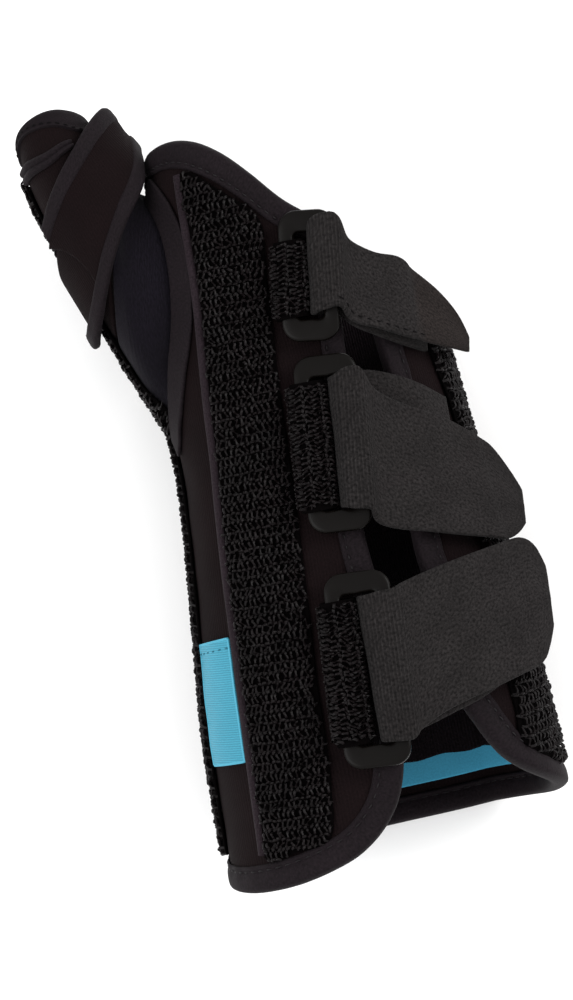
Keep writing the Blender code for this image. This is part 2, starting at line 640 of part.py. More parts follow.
def build_tab(name, ring):
    high, low = TABS[name]
    rows = []
    for aside, above in TAB_LOOP:
        pair = []
        for y in (high * MM, low * MM):
            bar = bar_at(ring, -1, y)
            x = bar.x + aside * MM
            pair.append(Vector((x, y, body_height(bar.x, y) + above * MM if above > 3.1 else body_height(x, y) + above * MM)))
            if above > 3.1:
                pair[-1].z = bar.z + (above - RING_SEAT / MM) * MM
        rows.append(tuple(pair))
    ribbon(name, rows, TAB_THICKNESS, across=3, parts=1, closed=True)


def build_strap(name, ring):
    rows = []
    for origin, x_high, y_high, x_low, y_low, above in STRAPS[name]:
        pair = []
        for x, y in ((x_high * MM, y_high * MM), (x_low * MM, y_low * MM)):
            if origin == "bar":
                bar = bar_at(ring, 1, y)
                pair.append(Vector((bar.x + x, y, bar.z + above * MM)))
            elif origin == "crown":
                pair.append(Vector((x, y, crown(y) + above * MM)))
            else:
                pair.append(Vector((x, y, body_height(x, y) + above * MM)))
        rows.append(tuple(pair))
    ribbon(name, rows, STRAP_THICKNESS, across=3, parts=1)


def sleeve_ring(along, turn):
    """A point of the thumb sleeve's middle surface: turn 0 is its inner side, a quarter the top."""
    outer_x, outer_y, inner_x, inner_y, up, half_height = read_table(SLEEVE, along)
    outer = Vector((outer_x, outer_y, up)) * MM
    inner = Vector((inner_x, inner_y, up)) * MM
    angle = math.tau * turn
    point = (outer + inner) / 2 + (inner - outer) / 2 * math.cos(angle)
    point.z += half_height * MM * math.sin(angle)
    tip = max(0.0, (along - 0.6) / 0.4) ** 2
    return point + Vector((-0.30, 0.95, 0.0)) * TONGUE_REACH * tip * max(0.0, math.sin(angle))


@functools.lru_cache(maxsize=20000)
def sleeve_middle(along, turn):
    """The sleeve's middle surface, from the opening in the body panel at 0 to the tip at 1."""
    first = SLEEVE[0][0]
    if along >= first:
        return sleeve_ring(along, turn)
    across, y = read_table(OPENING, turn, closed=1.0)
    base = smooth_body_point(turn_of(across * MM, y * MM), y * MM, -WALL / 2)
    ring = sleeve_ring(first, turn)
    slope = (sleeve_ring(first + 0.05, turn) - ring) / 0.05 * first
    q = along / first
    lean = (ring - base) * 1.0
    return (
        base * (2 * q**3 - 3 * q**2 + 1) + lean * (q**3 - 2 * q**2 + q)
        + ring * (3 * q**2 - 2 * q**3) + slope * (q**3 - q**2)
    )


def sleeve_point(along, turn, offset):
    """A point at a distance outside the sleeve's middle surface."""
    step_along = sleeve_middle(min(along + 0.01, 1.0), turn) - sleeve_middle(max(along - 0.01, 0.0), turn)
    step_turn = sleeve_middle(along, turn + 0.01) - sleeve_middle(along, turn - 0.01)
    return sleeve_middle(along, turn) + step_along.cross(step_turn).normalized() * offset


def sleeve_band(name, start, end, rings, around, thickness):
    tool = bmesh.new()
    bmesh.ops.create_grid(tool, x_segments=around, y_segments=rings, size=0.5)
    for vertex in tool.verts:
        turn = round((vertex.co.x + 0.5) * around) % around / around
        vertex.co = sleeve_middle(start + (end - start) * (vertex.co.y + 0.5), turn)
    bmesh.ops.remove_doubles(tool, verts=tool.verts, dist=1e-6)
    piece = add_object(tool, name)
    thicken(piece, thickness)
    return piece


def sleeve_patch(name, lines, first, last, around, offset, thickness):
    """A piece lying on the sleeve between two of its lines round, first and last counted in facets."""
    tool = bmesh.new()
    steps = last - first
    bmesh.ops.create_grid(tool, x_segments=steps, y_segments=len(lines) - 1, size=0.5)
    for vertex in tool.verts:
        turn = (first + round((vertex.co.x + 0.5) * steps)) / around
        along = lines[round((vertex.co.y + 0.5) * (len(lines) - 1))]
        vertex.co = sleeve_point(along, turn, offset)
    piece = add_object(tool, name)
    thicken(piece, thickness)
    return piece


def strap_rows():
    """Both edges of the thumb strap at each row of its table, with how far round it is."""
    rows = []
    for degrees, along_high, off_high, along_low, off_low in THUMB_STRAP:
        turn = degrees / 360
        top = sleeve_point(along_high, turn, off_high * MM)
        foot = sleeve_point(along_low, turn, off_low * MM)
        rows.append((degrees, top, foot, (foot - top).normalized()))
    return rows


def build_thumb():
    sleeve_band("thumb_gusset", 0.0, GUSSET_END, 4, 24, SLEEVE_WALL)
    sleeve_band("thumb_sleeve", GUSSET_END + 0.02, 0.915, 6, 24, SLEEVE_WALL)

    # Tape round the tip
    half = SLEEVE_WALL / 2 + 0.0008
    section = ((0.94, -half), (0.94, half), (1.0, half), (1.0, -half))
    swept("thumb_sleeve_binding", [i / 24 for i in range(24)], section,
          lambda turn, along, out: sleeve_point(along, turn, out))

    # Bound seam below the tip
    off = SLEEVE_WALL / 2 + 0.0009
    rows = [
        (sleeve_point(along + 0.011, degrees / 360, off), sleeve_point(along - 0.011, degrees / 360, off))
        for degrees, along in SEAM
    ]
    ribbon("thumb_seam", rows, 0.0008, across=1, parts=1)

    # Loop fabric along the outer side
    off = SLEEVE_WALL / 2 + 1.5 * FIT_GAP + LOOP_PILE / 2
    sleeve_patch("thumb_loop_strip", LOOP_STRIP_ALONG, 11, 15, 24, off, LOOP_PILE)

    # Strap wrapped round the sleeve, with tape on both edges
    rows = strap_rows()
    edge, gap = THUMB_BINDING_WIDTH, 2 * FIT_GAP
    ribbon("thumb_strap_binding_upper", [(top, top + run * edge) for _, top, _, run in rows],
           THUMB_BINDING_THICKNESS, across=1, parts=1)
    ribbon("thumb_strap_binding_lower", [(foot - run * edge, foot) for _, _, foot, run in rows],
           THUMB_BINDING_THICKNESS, across=1, parts=1)
    cloth = [(top + run * (edge + gap), foot - run * (edge + gap))
             for degrees, top, foot, run in rows if degrees <= STRAP_END_ROUND]
    last = rows[-2]
    cloth.append((last[1] + last[3] * (edge + gap), cloth[-1][1].lerp(last[2] - last[3] * (edge + gap), 0.2)))
    ribbon("thumb_strap", cloth, THUMB_STRAP_THICKNESS, across=2, parts=1)

    # Second layer of the strap, seen past its cut end
    under = []
    for degrees, top, foot, run in rows:
        if degrees >= TAB_START_ROUND:
            inwards = run.cross(rows[-1][1] - rows[-3][1]).normalized()
            inwards = inwards if inwards.dot(top - Vector((-0.045, 0.075, 0.032))) < 0 else -inwards
            drop = inwards * (THUMB_STRAP_THICKNESS / 2 + 0.0006 + 0.0004)
            under.append((top + run * (edge + gap) + drop, foot - run * (edge + gap) + drop))
    ribbon("thumb_strap_tab", under, 0.0012, across=2, parts=1)


def build():
    clear_scene()
    build_body()
    build_patches()
    for number in (1, 2, 3):
        build_ring(f"ring_{number}")
        build_tab(f"ring_tab_{number}", f"ring_{number}")
        build_strap(f"strap_{number}", f"ring_{number}")
    build_thumb()


build()
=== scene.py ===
"""Looks of the thumb spica brace: laminated cloth, folded tape, loop pile, webbing and plastic rings."""

import math

import bmesh
import bpy
import numpy as np
from mathutils import Matrix, Vector


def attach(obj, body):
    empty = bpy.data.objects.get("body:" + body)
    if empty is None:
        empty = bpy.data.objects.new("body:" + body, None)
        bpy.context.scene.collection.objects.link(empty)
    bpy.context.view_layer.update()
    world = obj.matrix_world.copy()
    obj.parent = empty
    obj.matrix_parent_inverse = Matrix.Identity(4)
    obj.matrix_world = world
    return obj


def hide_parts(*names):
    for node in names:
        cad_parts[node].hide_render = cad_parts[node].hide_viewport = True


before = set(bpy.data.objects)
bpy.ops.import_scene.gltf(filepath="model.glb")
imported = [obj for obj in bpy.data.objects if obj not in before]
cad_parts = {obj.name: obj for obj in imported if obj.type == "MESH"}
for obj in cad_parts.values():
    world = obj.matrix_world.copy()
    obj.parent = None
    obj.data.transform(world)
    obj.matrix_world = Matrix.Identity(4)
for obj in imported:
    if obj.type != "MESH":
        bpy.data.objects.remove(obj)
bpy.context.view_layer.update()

bl_info = {
    "name": "Thumb Spica Brace",
    "version": (1, 0, 0),
    "blender": (4, 5, 0),
    "location": "View3D > Sidebar > Brace",
    "description": "Builds the cloth, pile, tape, straps and rings of a thumb spica brace",
    "category": "Add Mesh",
}

MM = 0.001

# Body tube, as in the solids
BRACE_LENGTH = 0.200
FOREARM_WIDTH = 0.0938
FOREARM_HEIGHT = 0.072
TOP_ROUNDNESS = 2.3
BASE_ROUNDNESS = 2.8
BASE_FLAT_SHARE = 0.06
WALL = 0.0024
PATTERN_GIRTH = 0.245

# Sewn parts
BINDING_WIDTH = 0.0065
FIT_GAP = 0.0003
LOOP_BACKING = 0.0007
LINING_PANEL = 0.0009
KNIT_PANEL = 0.0010
KNIT_START = 0.0185
LINING_REACH = 0.028

# Rings
RING_BAR = 0.0040
RING_ARM = 0.0058
RING_THICKNESS = 0.0030
RING_SEAT = 0.0036
RING_LEAN = 0.0017

# Thumb
SLEEVE_WALL = 0.0020
THUMB_BINDING_WIDTH = 0.0050
TONGUE_REACH = 0.0045
GUSSET_END = 0.34

# Sections of the tube, as shares of the brace length, the forearm width and the forearm height
SECTION_COLUMNS = ("along", "centre", "half_width", "height", "lift")
SECTIONS = (
    (0.00, 0.000, 0.500, 1.000, 0.045),
    (0.05, 0.000, 0.499, 1.000, 0.017),
    (0.12, -0.002, 0.494, 0.992, 0.000),
    (0.20, -0.003, 0.488, 0.975, 0.000),
    (0.40, 0.002, 0.451, 0.875, 0.000),
    (0.55, 0.000, 0.423, 0.805, 0.000),
    (0.64, -0.012, 0.418, 0.776, 0.000),
    (0.72, -0.020, 0.412, 0.750, 0.022),
    (0.80, -0.022, 0.403, 0.728, 0.040),
    (0.93, -0.005, 0.376, 0.710, 0.080),
    (1.00, 0.015, 0.356, 0.700, 0.115),
)

# Outline of the body panel: turns round the tube from the top towards +X, and mm along it
OUTLINE_COLUMNS = ("turn", "along")
OUTLINE = (
    (0.096, 50.0), (0.096, 36.0), (0.095, 20.0), (0.082, 0.0), (0.074, -18.0), (0.079, -34.0),
    (0.081, -56.0), (0.096, -67.0), (0.114, -75.0), (0.135, -79.8), (0.160, -83.4), (0.195, -87.0),
    (0.250, -91.2), (0.320, -95.0), (0.410, -97.0), (0.500, -97.8), (0.600, -98.8), (0.700, -99.7),
    (0.780, -100.0), (0.835, -99.6), (0.885, -98.0), (0.928, -95.2), (0.960, -91.8), (0.987, -86.0),
    (1.006, -78.0), (1.017, -66.0), (1.023, -50.0), (1.024, -30.0), (1.020, -12.0), (1.028, 8.0),
    (1.046, 30.0), (1.058, 50.0), (1.062, 64.0), (1.054, 70.5), (1.038, 73.2), (1.008, 78.2),
    (0.972, 86.0), (0.940, 91.8), (0.908, 96.0), (0.880, 98.4), (0.850, 99.6), (0.815, 99.6),
    (0.770, 98.6), (0.710, 96.0), (0.650, 91.0), (0.590, 82.5), (0.510, 69.0), (0.420, 57.0), (0.320, 49.5),
    (0.240, 46.8), (0.180, 49.5), (0.130, 55.5), (0.106, 58.5), (0.098, 56.5),
)

# Thumb opening in the body panel: turns round the opening, mm round the tube from the top, mm along it
OPENING_COLUMNS = ("turn", "across", "along")
OPENING = (
    (0.00, -53.0, 88.2), (0.08, -43.5, 86.2), (0.16, -36.3, 79.5), (0.24, -33.4, 68.0),
    (0.32, -35.0, 54.0), (0.40, -41.5, 40.0), (0.46, -47.5, 29.5), (0.50, -53.5, 22.5),
    (0.56, -61.0, 27.5), (0.64, -69.0, 40.0), (0.74, -75.0, 57.0), (0.84, -72.5, 73.0),
    (0.92, -64.5, 84.5),
)

# Flat pieces sewn on the body panel, in mm across from the top and mm along
PATCH_COLUMNS = ("across", "along")
FRONT_STRIP = (
    (-24.6, 90.8), (-23.6, 74.0), (-23.4, 57.0), (-25.4, 41.0), (-28.0, 25.0), (-31.5, 3.0),
    (-33.4, -18.0), (-34.4, -39.0), (-35.4, -60.0), (-36.9, -80.0), (-37.8, -91.2),
    (-28.0, -90.0), (-18.2, -87.2), (-15.4, -74.0), (-14.4, -62.0), (-13.9, -47.0), (-12.2, -22.0),
    (-10.9, -1.0), (-9.6, 15.0), (-6.4, 41.0), (-4.8, 60.0), (-4.4, 73.6), (-13.0, 82.8),
)
BACK_STRIP = (
    (-54.0, 20.6), (-52.4, 0.0), (-53.3, -20.0), (-54.6, -35.0), (-57.8, -66.0), (-61.0, -80.0),
    (-64.5, -91.0), (-84.0, -91.5), (-80.0, -70.0), (-76.0, -40.0), (-73.0, -10.0), (-71.0, 19.0),
    (-68.5, 34.0), (-61.0, 24.6),
)
RIGHT_STRIP = (
    (37.6, 38.5), (39.4, 15.0), (38.6, -10.0), (37.2, -52.0), (37.6, -65.0), (39.4, -75.5),
    (62.0, -83.5), (60.5, -60.0), (60.0, -20.0), (60.0, 15.0), (58.0, 38.5),
)
SIDE_LABEL = ((-54.6, -34.2), (-37.1, -32.8), (-38.2, -65.6), (-55.6, -66.8))
PIPING = (
    (-25.9, 90.4), (-24.9, 74.0), (-24.7, 57.0), (-26.7, 41.0), (-29.3, 25.0), (-32.8, 3.0),
    (-34.7, -18.0), (-35.7, -39.0), (-36.7, -60.0), (-38.2, -80.0), (-39.1, -90.0),
)

# Rings: mm to the centre, mm of the outside, and lean of the long side
RING_COLUMNS = ("x", "y", "width", "length", "turn_degrees")
RINGS = {
    "ring_1": (4.0, 56.6, 15.2, 34.5, 8.2),
    "ring_2": (1.7, 12.3, 16.8, 47.0, 4.4),
    "ring_3": (-0.9, -46.4, 17.4, 50.5, 3.0),
}

# Tabs that hold the rings: mm along the brace, and the loop round the bar in mm from it
TAB_COLUMNS = ("high", "low")
TABS = {"ring_tab_1": (66.5, 46.4), "ring_tab_2": (29.2, -4.4), "ring_tab_3": (-28.0, -64.6)}
TAB_LOOP_COLUMNS = ("across", "above_body")
TAB_LOOP = (
    (-2.2, 0.95), (0.4, 0.9), (3.2, 0.95), (4.8, 1.9), (5.1, 3.6), (4.2, 5.2),
    (1.6, 6.0), (-1.2, 5.95), (-2.7, 5.0), (-3.0, 2.9),
)

# Straps, from the sewn end to the free end: mm to the finger-side and forearm-side edge of each
# row, and mm above the body, the ring's bar or the crown of the tube
STRAP_COLUMNS = ("from", "x_high", "y_high", "x_low", "y_low", "above")
STRAPS = {
    "strap_1": (
        ("body", 33.0, 43.0, 31.5, 32.0, 1.9), ("body", 27.0, 48.0, 25.5, 34.5, 3.5),
        ("body", 20.5, 54.0, 19.0, 38.0, 3.4), ("body", 14.6, 62.5, 12.6, 42.0, 3.2),
        ("bar", 1.0, 67.3, 1.0, 46.2, -2.9), ("bar", -2.9, 67.3, -2.9, 46.2, -2.7),
        ("bar", -4.8, 68.0, -4.8, 46.2, -0.5), ("bar", -4.5, 70.8, -4.2, 46.4, 2.8),
        ("bar", -1.6, 71.6, -1.0, 46.8, 4.0), ("bar", 2.2, 70.6, 2.4, 46.6, 3.8),
        ("crown", 15.6, 64.2, 13.0, 42.4, 7.0), ("crown", 21.6, 59.6, 19.2, 39.6, 4.6),
        ("crown", 28.0, 57.4, 25.6, 36.6, 1.2), ("crown", 31.6, 53.6, 30.4, 34.7, -1.6),
        ("crown", 37.5, 47.2, 36.6, 32.2, -5.8), ("crown", 41.6, 40.5, 40.4, 30.8, -8.8),
        ("crown", 43.8, 33.4, 43.0, 29.8, -11.0),
    ),
    "strap_2": (
        ("body", 34.0, 19.0, 33.0, -12.5, 1.9), ("body", 27.0, 24.0, 26.0, -11.5, 3.1),
        ("body", 20.0, 27.6, 18.5, -9.5, 2.9), ("body", 14.0, 29.6, 12.0, -8.0, 3.2),
        ("bar", 1.0, 29.4, 1.0, -4.9, -2.9), ("bar", -3.2, 29.4, -3.2, -4.9, -2.7),
        ("bar", -5.2, 29.4, -5.2, -4.8, -0.5), ("bar", -4.3, 29.7, -4.6, -4.8, 2.4),
        ("bar", -1.4, 31.0, -3.0, -5.4, 4.0), ("bar", 2.4, 30.4, 1.6, -6.6, 4.0),
        ("crown", 14.2, 25.0, 9.4, -10.4, 7.4), ("crown", 18.5, 21.0, 14.5, -13.0, 5.4),
        ("crown", 25.4, 16.8, 22.4, -15.2, 2.8), ("crown", 32.0, 13.2, 30.0, -17.6, -1.2),
        ("crown", 38.0, 8.6, 37.0, -19.6, -5.2), ("crown", 43.0, 4.4, 42.2, -21.2, -8.6),
        ("crown", 46.8, -2.6, 45.8, -20.6, -11.2), ("crown", 49.6, -9.6, 48.8, -18.2, -13.2),
    ),
    "strap_3": (
        ("body", 35.0, -27.0, 34.0, -57.5, 1.9), ("body", 27.5, -26.5, 26.0, -60.0, 3.4),
        ("body", 20.0, -26.0, 18.0, -62.0, 2.9), ("body", 13.0, -26.5, 10.0, -64.0, 3.2),
        ("bar", 1.0, -27.8, 1.0, -64.6, -2.9), ("bar", -3.8, -27.8, -3.0, -64.8, -2.7),
        ("bar", -6.4, -27.8, -4.7, -65.0, -0.5), ("bar", -5.4, -27.8, -4.2, -65.0, 2.4),
        ("bar", -1.6, -27.3, -1.0, -65.2, 4.0), ("bar", 2.4, -27.2, 2.6, -65.4, 3.8),
        ("crown", 12.6, -26.2, 9.6, -63.6, 7.2), ("crown", 18.0, -25.0, 16.0, -60.8, 5.4),
        ("crown", 24.5, -23.8, 23.0, -59.0, 3.6), ("crown", 31.0, -22.8, 30.0, -57.6, 1.2),
        ("crown", 39.0, -21.8, 38.0, -56.0, -2.8), ("crown", 45.5, -21.3, 44.6, -54.4, -6.6),
        ("crown", 49.2, -24.2, 47.6, -51.0, -9.4), ("crown", 51.3, -31.0, 50.2, -45.4, -11.6),
    ),
}
STRAP_WIDTHS = {"strap_1": 0.023, "strap_2": 0.036, "strap_3": 0.037}
# The row at which the layer under each flap ends
STRAP_STEPS = {"strap_1": 12.6, "strap_2": 14.4, "strap_3": 14.2}

# Rings of the thumb sleeve: share of its length, mm to its outer and inner side, mm up, mm half height
SLEEVE_COLUMNS = ("along", "outer_x", "outer_y", "inner_x", "inner_y", "up", "half_height")
SLEEVE = (
    (0.25, -46.5, 43.0, -42.5, 94.5, 30.0, 18.5),
    (0.50, -54.2, 64.0, -43.8, 100.4, 32.0, 17.5),
    (0.75, -61.0, 84.0, -45.4, 105.0, 34.5, 15.0),
    (0.90, -64.8, 98.4, -47.0, 108.4, 36.0, 13.0),
    (1.00, -65.4, 107.6, -48.6, 112.0, 37.0, 11.0),
)
SLEEVE_GIRTH = 0.090
SLEEVE_LENGTH = 0.080

# Thumb strap: degrees round the sleeve from its inner side over the top, share along the sleeve
# and mm off the middle of the sleeve's wall, for the edge at the tip and the edge at the wrist
THUMB_STRAP_COLUMNS = ("round", "along_high", "off_high", "along_low", "off_low")
THUMB_STRAP = (
    (-110.0, 0.86, 3.4, 0.50, 3.9), (-70.0, 0.92, 3.7, 0.50, 4.2), (-35.0, 0.96, 5.4, 0.50, 6.4),
    (-5.0, 0.97, 7.2, 0.49, 8.6), (20.0, 0.95, 6.8, 0.42, 9.8), (45.0, 0.88, 4.8, 0.30, 9.8),
    (70.0, 0.82, 3.5, 0.30, 5.6), (95.0, 0.79, 3.3, 0.33, 3.8), (120.0, 0.77, 3.4, 0.355, 3.5),
    (145.0, 0.745, 4.8, 0.365, 4.8), (168.0, 0.69, 6.3, 0.365, 6.1), (188.0, 0.63, 6.6, 0.375, 6.4),
)
STRAP_END_ROUND = 166.0
TAB_START_ROUND = 138.0
SEAM_COLUMNS = ("round", "along")
SEAM = ((165.0, 0.905), (137.0, 0.892), (117.0, 0.875), (100.0, 0.860), (80.0, 0.852), (66.0, 0.842))

# Where the tip's tape begins: turns round the sleeve and share of its length
TIP_EDGE = (
    (0.00, 0.905), (0.11, 0.872), (0.19, 0.925), (0.27, 0.955), (0.38, 0.972), (0.50, 0.955), (0.75, 0.930),
)
LOOP_STRIP_ROUND = (165.0, 225.0)
LOOP_STRIP_ALONG = (0.0, 0.90)

# Section of the folded tape round a cut edge: mm inwards from the edge and mm off the panel's outer face
TAPE_SECTION = (
    (6.5, 0.25), (6.3, 0.75), (5.7, 0.85), (5.1, 0.55), (4.5, 0.85), (3.2, 1.25), (1.6, 1.35), (0.3, 1.05),
    (-0.3, -0.1), (-0.45, -1.2), (-0.3, -2.3), (0.3, -3.45), (1.6, -3.75), (3.2, -3.65), (4.5, -3.25),
    (5.1, -2.95), (5.7, -3.25), (6.3, -3.15), (6.5, -2.65), (3.6, -2.55), (1.2, -2.5), (0.6, -1.2),
    (1.2, 0.1), (3.6, 0.15),
)
STITCH_LINE = 0.0051


def linear(hex_colour):
    """Linear red, green and blue of an sRGB hex value."""
    channels = [int(hex_colour[i:i + 2], 16) / 255 for i in (1, 3, 5)]
    return [c / 12.92 if c <= 0.04045 else ((c + 0.055) / 1.055) ** 2.4 for c in channels]


class BraceSizes(bpy.types.PropertyGroup):
    panel_cell: bpy.props.FloatProperty(
        name="Panel cell", description="Spacing of the lines that let a flat panel bend",
        default=0.0018, unit="LENGTH")
    loop_across: bpy.props.FloatProperty(
        name="Loop spacing", description="Distance between the pile's loops across a strip",
        default=0.00145, unit="LENGTH")
    loop_along: bpy.props.FloatProperty(
        name="Row spacing", description="Length of the pile's repeat along a strip",
        default=0.0050, unit="LENGTH")
    yarn: bpy.props.FloatProperty(
        name="Yarn", description="Thickness of one pile loop", default=0.00072, unit="LENGTH")
    loop_rise: bpy.props.FloatProperty(
        name="Loop rise", description="Height of a loop over its backing", default=0.0012, unit="LENGTH")
    stitch: bpy.props.FloatProperty(
        name="Stitch", description="Length of one stitch", default=0.0019, unit="LENGTH")
    stitch_step: bpy.props.FloatProperty(
        name="Stitch step", description="Distance from one stitch to the next", default=0.0028, unit="LENGTH")
    thread: bpy.props.FloatProperty(
        name="Thread", description="Thickness of the sewing thread", default=0.00042, unit="LENGTH")
    strap_thickness: bpy.props.FloatProperty(
        name="Strap thickness", description="Thickness of the strap cloth", default=0.0018, unit="LENGTH")
    camera_height: bpy.props.FloatProperty(
        name="Camera height", description="Height of the camera over the floor", default=0.600, unit="LENGTH")


class BraceColours(bpy.types.PropertyGroup):
    panel: bpy.props.FloatVectorProperty(
        name="Panel", description="Brushed face of the body panel", subtype="COLOR", default=linear("#10090a"))
    tape: bpy.props.FloatVectorProperty(
        name="Tape", description="Folded tape", subtype="COLOR", default=linear("#151013"))
    knit: bpy.props.FloatVectorProperty(
        name="Knit", description="Ribbed knit", subtype="COLOR", default=linear("#100d14"))
    pile: bpy.props.FloatVectorProperty(
        name="Pile", description="Loop pile yarn", subtype="COLOR", default=linear("#0e0a0b"))
    strap: bpy.props.FloatVectorProperty(
        name="Strap", description="Strap cloth", subtype="COLOR", default=linear("#1e1c1c"))
    ring: bpy.props.FloatVectorProperty(
        name="Ring", description="Moulded rings", subtype="COLOR", default=linear("#090706"))
    label: bpy.props.FloatVectorProperty(
        name="Label", description="Woven side label", subtype="COLOR", default=linear("#3a869c"))
    lining: bpy.props.FloatVectorProperty(
        name="Lining", description="Lining inside the forearm rim", subtype="COLOR", default=linear("#3f90af"))
    thread: bpy.props.FloatVectorProperty(
        name="Thread", description="Sewing thread", subtype="COLOR", default=linear("#151214"))
    floor: bpy.props.FloatVectorProperty(
        name="Floor", description="Plain pale floor", subtype="COLOR", default=linear("#ffffff"))


def read_table(rows, at, period=0.0):
    """A table's other columns at values of its first one, along smooth curves."""
    table = np.array(rows, float)
    at = np.atleast_1d(np.asarray(at, float))
    if period:
        before, after = table[-2:].copy(), table[:2].copy()
        before[:, 0] -= period
        after[:, 0] += period
        table = np.vstack([before, table, after])
        at = at % period
    keys, values = table[:, 0], table[:, 1:]
    at = np.clip(at, keys[0], keys[-1])
    i = np.clip(np.searchsorted(keys, at, side="right") - 1, 0, len(keys) - 2)
    back, ahead = np.maximum(i - 1, 0), np.minimum(i + 2, len(keys) - 1)
    span = (keys[i + 1] - keys[i])[:, None]
    q = (at - keys[i])[:, None] / span
    slope_low = (values[i + 1] - values[back]) / (keys[i + 1] - keys[back])[:, None]
    slope_high = (values[ahead] - values[i]) / (keys[ahead] - keys[i])[:, None]
    return (
        (2 * q**3 - 3 * q**2 + 1) * values[i] + (q**3 - 2 * q**2 + q) * span * slope_low
        + (3 * q**2 - 2 * q**3) * values[i + 1] + (q**3 - q**2) * span * slope_high
    )


def smooth_line(points, parts, closed=False):
    """Points along smooth curves through rows of points."""
    points = np.array(points, float)
    count = len(points)
    index = np.arange(count if closed else count - 1)
    near = [(index + k - 1) % count if closed else np.clip(index + k - 1, 0, count - 1) for k in range(4)]
    p0, p1, p2, p3 = (points[k] for k in near)
    steps = []
    for q in np.arange(parts) / parts:
        steps.append(0.5 * (2 * p1 + (p2 - p0) * q + (2 * p0 - 5 * p1 + 4 * p2 - p3) * q**2
                            + (3 * p1 - p0 - 3 * p2 + p3) * q**3))
    line = np.stack(steps, axis=1).reshape(-1, *points.shape[1:])
    return line if closed else np.concatenate([line, points[-1:]])


def even_line(points, step, closed=False):
    """The same line with its points an even distance apart."""
    ends = np.vstack([points, points[:1]]) if closed else points
    length = np.concatenate([[0.0], np.cumsum(np.linalg.norm(np.diff(ends, axis=0), axis=1))])
    count = max(2, round(length[-1] / step))
    at = np.linspace(0, length[-1], count + 1)
    line = np.stack([np.interp(at, length, ends[:, k]) for k in range(ends.shape[1])], axis=1)
    return line[:-1] if closed else line


def line_sides(line, closed=False, soften=0):
    """The direction to the left of a flat line at each of its points."""
    if closed:
        course = np.roll(line, -1, axis=0) - np.roll(line, 1, axis=0)
    else:
        course = np.gradient(line, axis=0)
    for _ in range(soften):
        course = (np.roll(course, 1, axis=0) + course + np.roll(course, -1, axis=0)) / 3
    course = course / np.linalg.norm(course, axis=1, keepdims=True)
    return np.stack([-course[:, 1], course[:, 0]], axis=1)


def inset(loop, distance, soften=0):
    """A closed flat loop moved inwards."""
    area = np.sum(loop[:, 0] * np.roll(loop[:, 1], -1) - np.roll(loop[:, 0], -1) * loop[:, 1])
    return loop + math.copysign(distance, distance * area) * line_sides(loop, True, soften)


def inside(points, loop):
    """Which flat points lie inside a closed loop."""
    found = np.zeros(len(points), bool)
    for (x0, y0), (x1, y1) in zip(loop, np.roll(loop, -1, axis=0)):
        if y0 == y1:
            continue
        crosses = (points[:, 1] < y0) != (points[:, 1] < y1)
        found ^= crosses & (points[:, 0] < x0 + (points[:, 1] - y0) * (x1 - x0) / (y1 - y0))
    return found


def unevenness(x, y, height, spacing):
    """The slight waves of cloth that was laid and sewn by hand."""
    total = 0.0
    for heading, stretch, start in ((0.3, 1.0, 0.0), (1.25, 1.4, 1.7), (2.2, 0.8, 4.1), (2.85, 1.9, 2.6)):
        course = x * math.cos(heading) + y * math.sin(heading)
        side = y * math.cos(heading) - x * math.sin(heading)
        total = total + np.sin(
            math.tau * course / (spacing * stretch) + start + 1.3 * np.sin(math.tau * side / (2.3 * spacing)))
    return height * total / 4


class Surface:
    """A smooth surface on which flat cloth is laid: locate() gives the row and column of a flat place."""

    def __init__(self, rows, columns, points, outwards, locate):
        self.rows, self.columns, self.points, self.locate = rows, columns, points, locate
        normals = np.cross(np.gradient(points, axis=1), np.gradient(points, axis=0)) * outwards
        self.normals = normals / np.maximum(np.linalg.norm(normals, axis=2, keepdims=True), 1e-12)

    def place(self, x, y, offset):
        row, column = self.locate(x, y)
        i = np.interp(row, self.rows, np.arange(len(self.rows)))
        j = np.interp(column, self.columns, np.arange(len(self.columns)))
        low_i = np.minimum(i.astype(int), len(self.rows) - 2)
        low_j = np.minimum(j.astype(int), len(self.columns) - 2)
        q, r = (i - low_i)[:, None], (j - low_j)[:, None]
        found = []
        for grid in (self.points, self.normals):
            near = grid[low_i, low_j] * (1 - r) + grid[low_i, low_j + 1] * r
            far = grid[low_i + 1, low_j] * (1 - r) + grid[low_i + 1, low_j + 1] * r
            found.append(near * (1 - q) + far * q)
        return found[0] + found[1] * np.asarray(offset)[..., None]


def sections_at(y):
    """Centre, half width, height and lift of the tube at each y."""
    centre, half_width, height, lift = read_table(SECTIONS, np.asarray(y) / BRACE_LENGTH + 0.5).T
    lift = np.maximum(lift, 0.0) * FOREARM_HEIGHT
    return centre * FOREARM_WIDTH, half_width * FOREARM_WIDTH, height * FOREARM_HEIGHT, lift


def section_points(y, angles):
    """Points of the tube's sections, at angles from the top towards +X."""
    centre, half_width, height, lift = (v[:, None] for v in sections_at(y))
    flat = BASE_FLAT_SHARE * height
    half_height = (height + flat) / 2
    across, up = np.sin(angles)[None, :], np.cos(angles)[None, :]
    power = np.where(up > 0, TOP_ROUNDNESS, BASE_ROUNDNESS)
    radius = (np.abs(across / half_width) ** power + np.abs(up / half_height) ** power) ** (-1 / power)
    z = np.maximum(lift - flat + half_height + radius * up, lift)
    return centre + radius * across, z


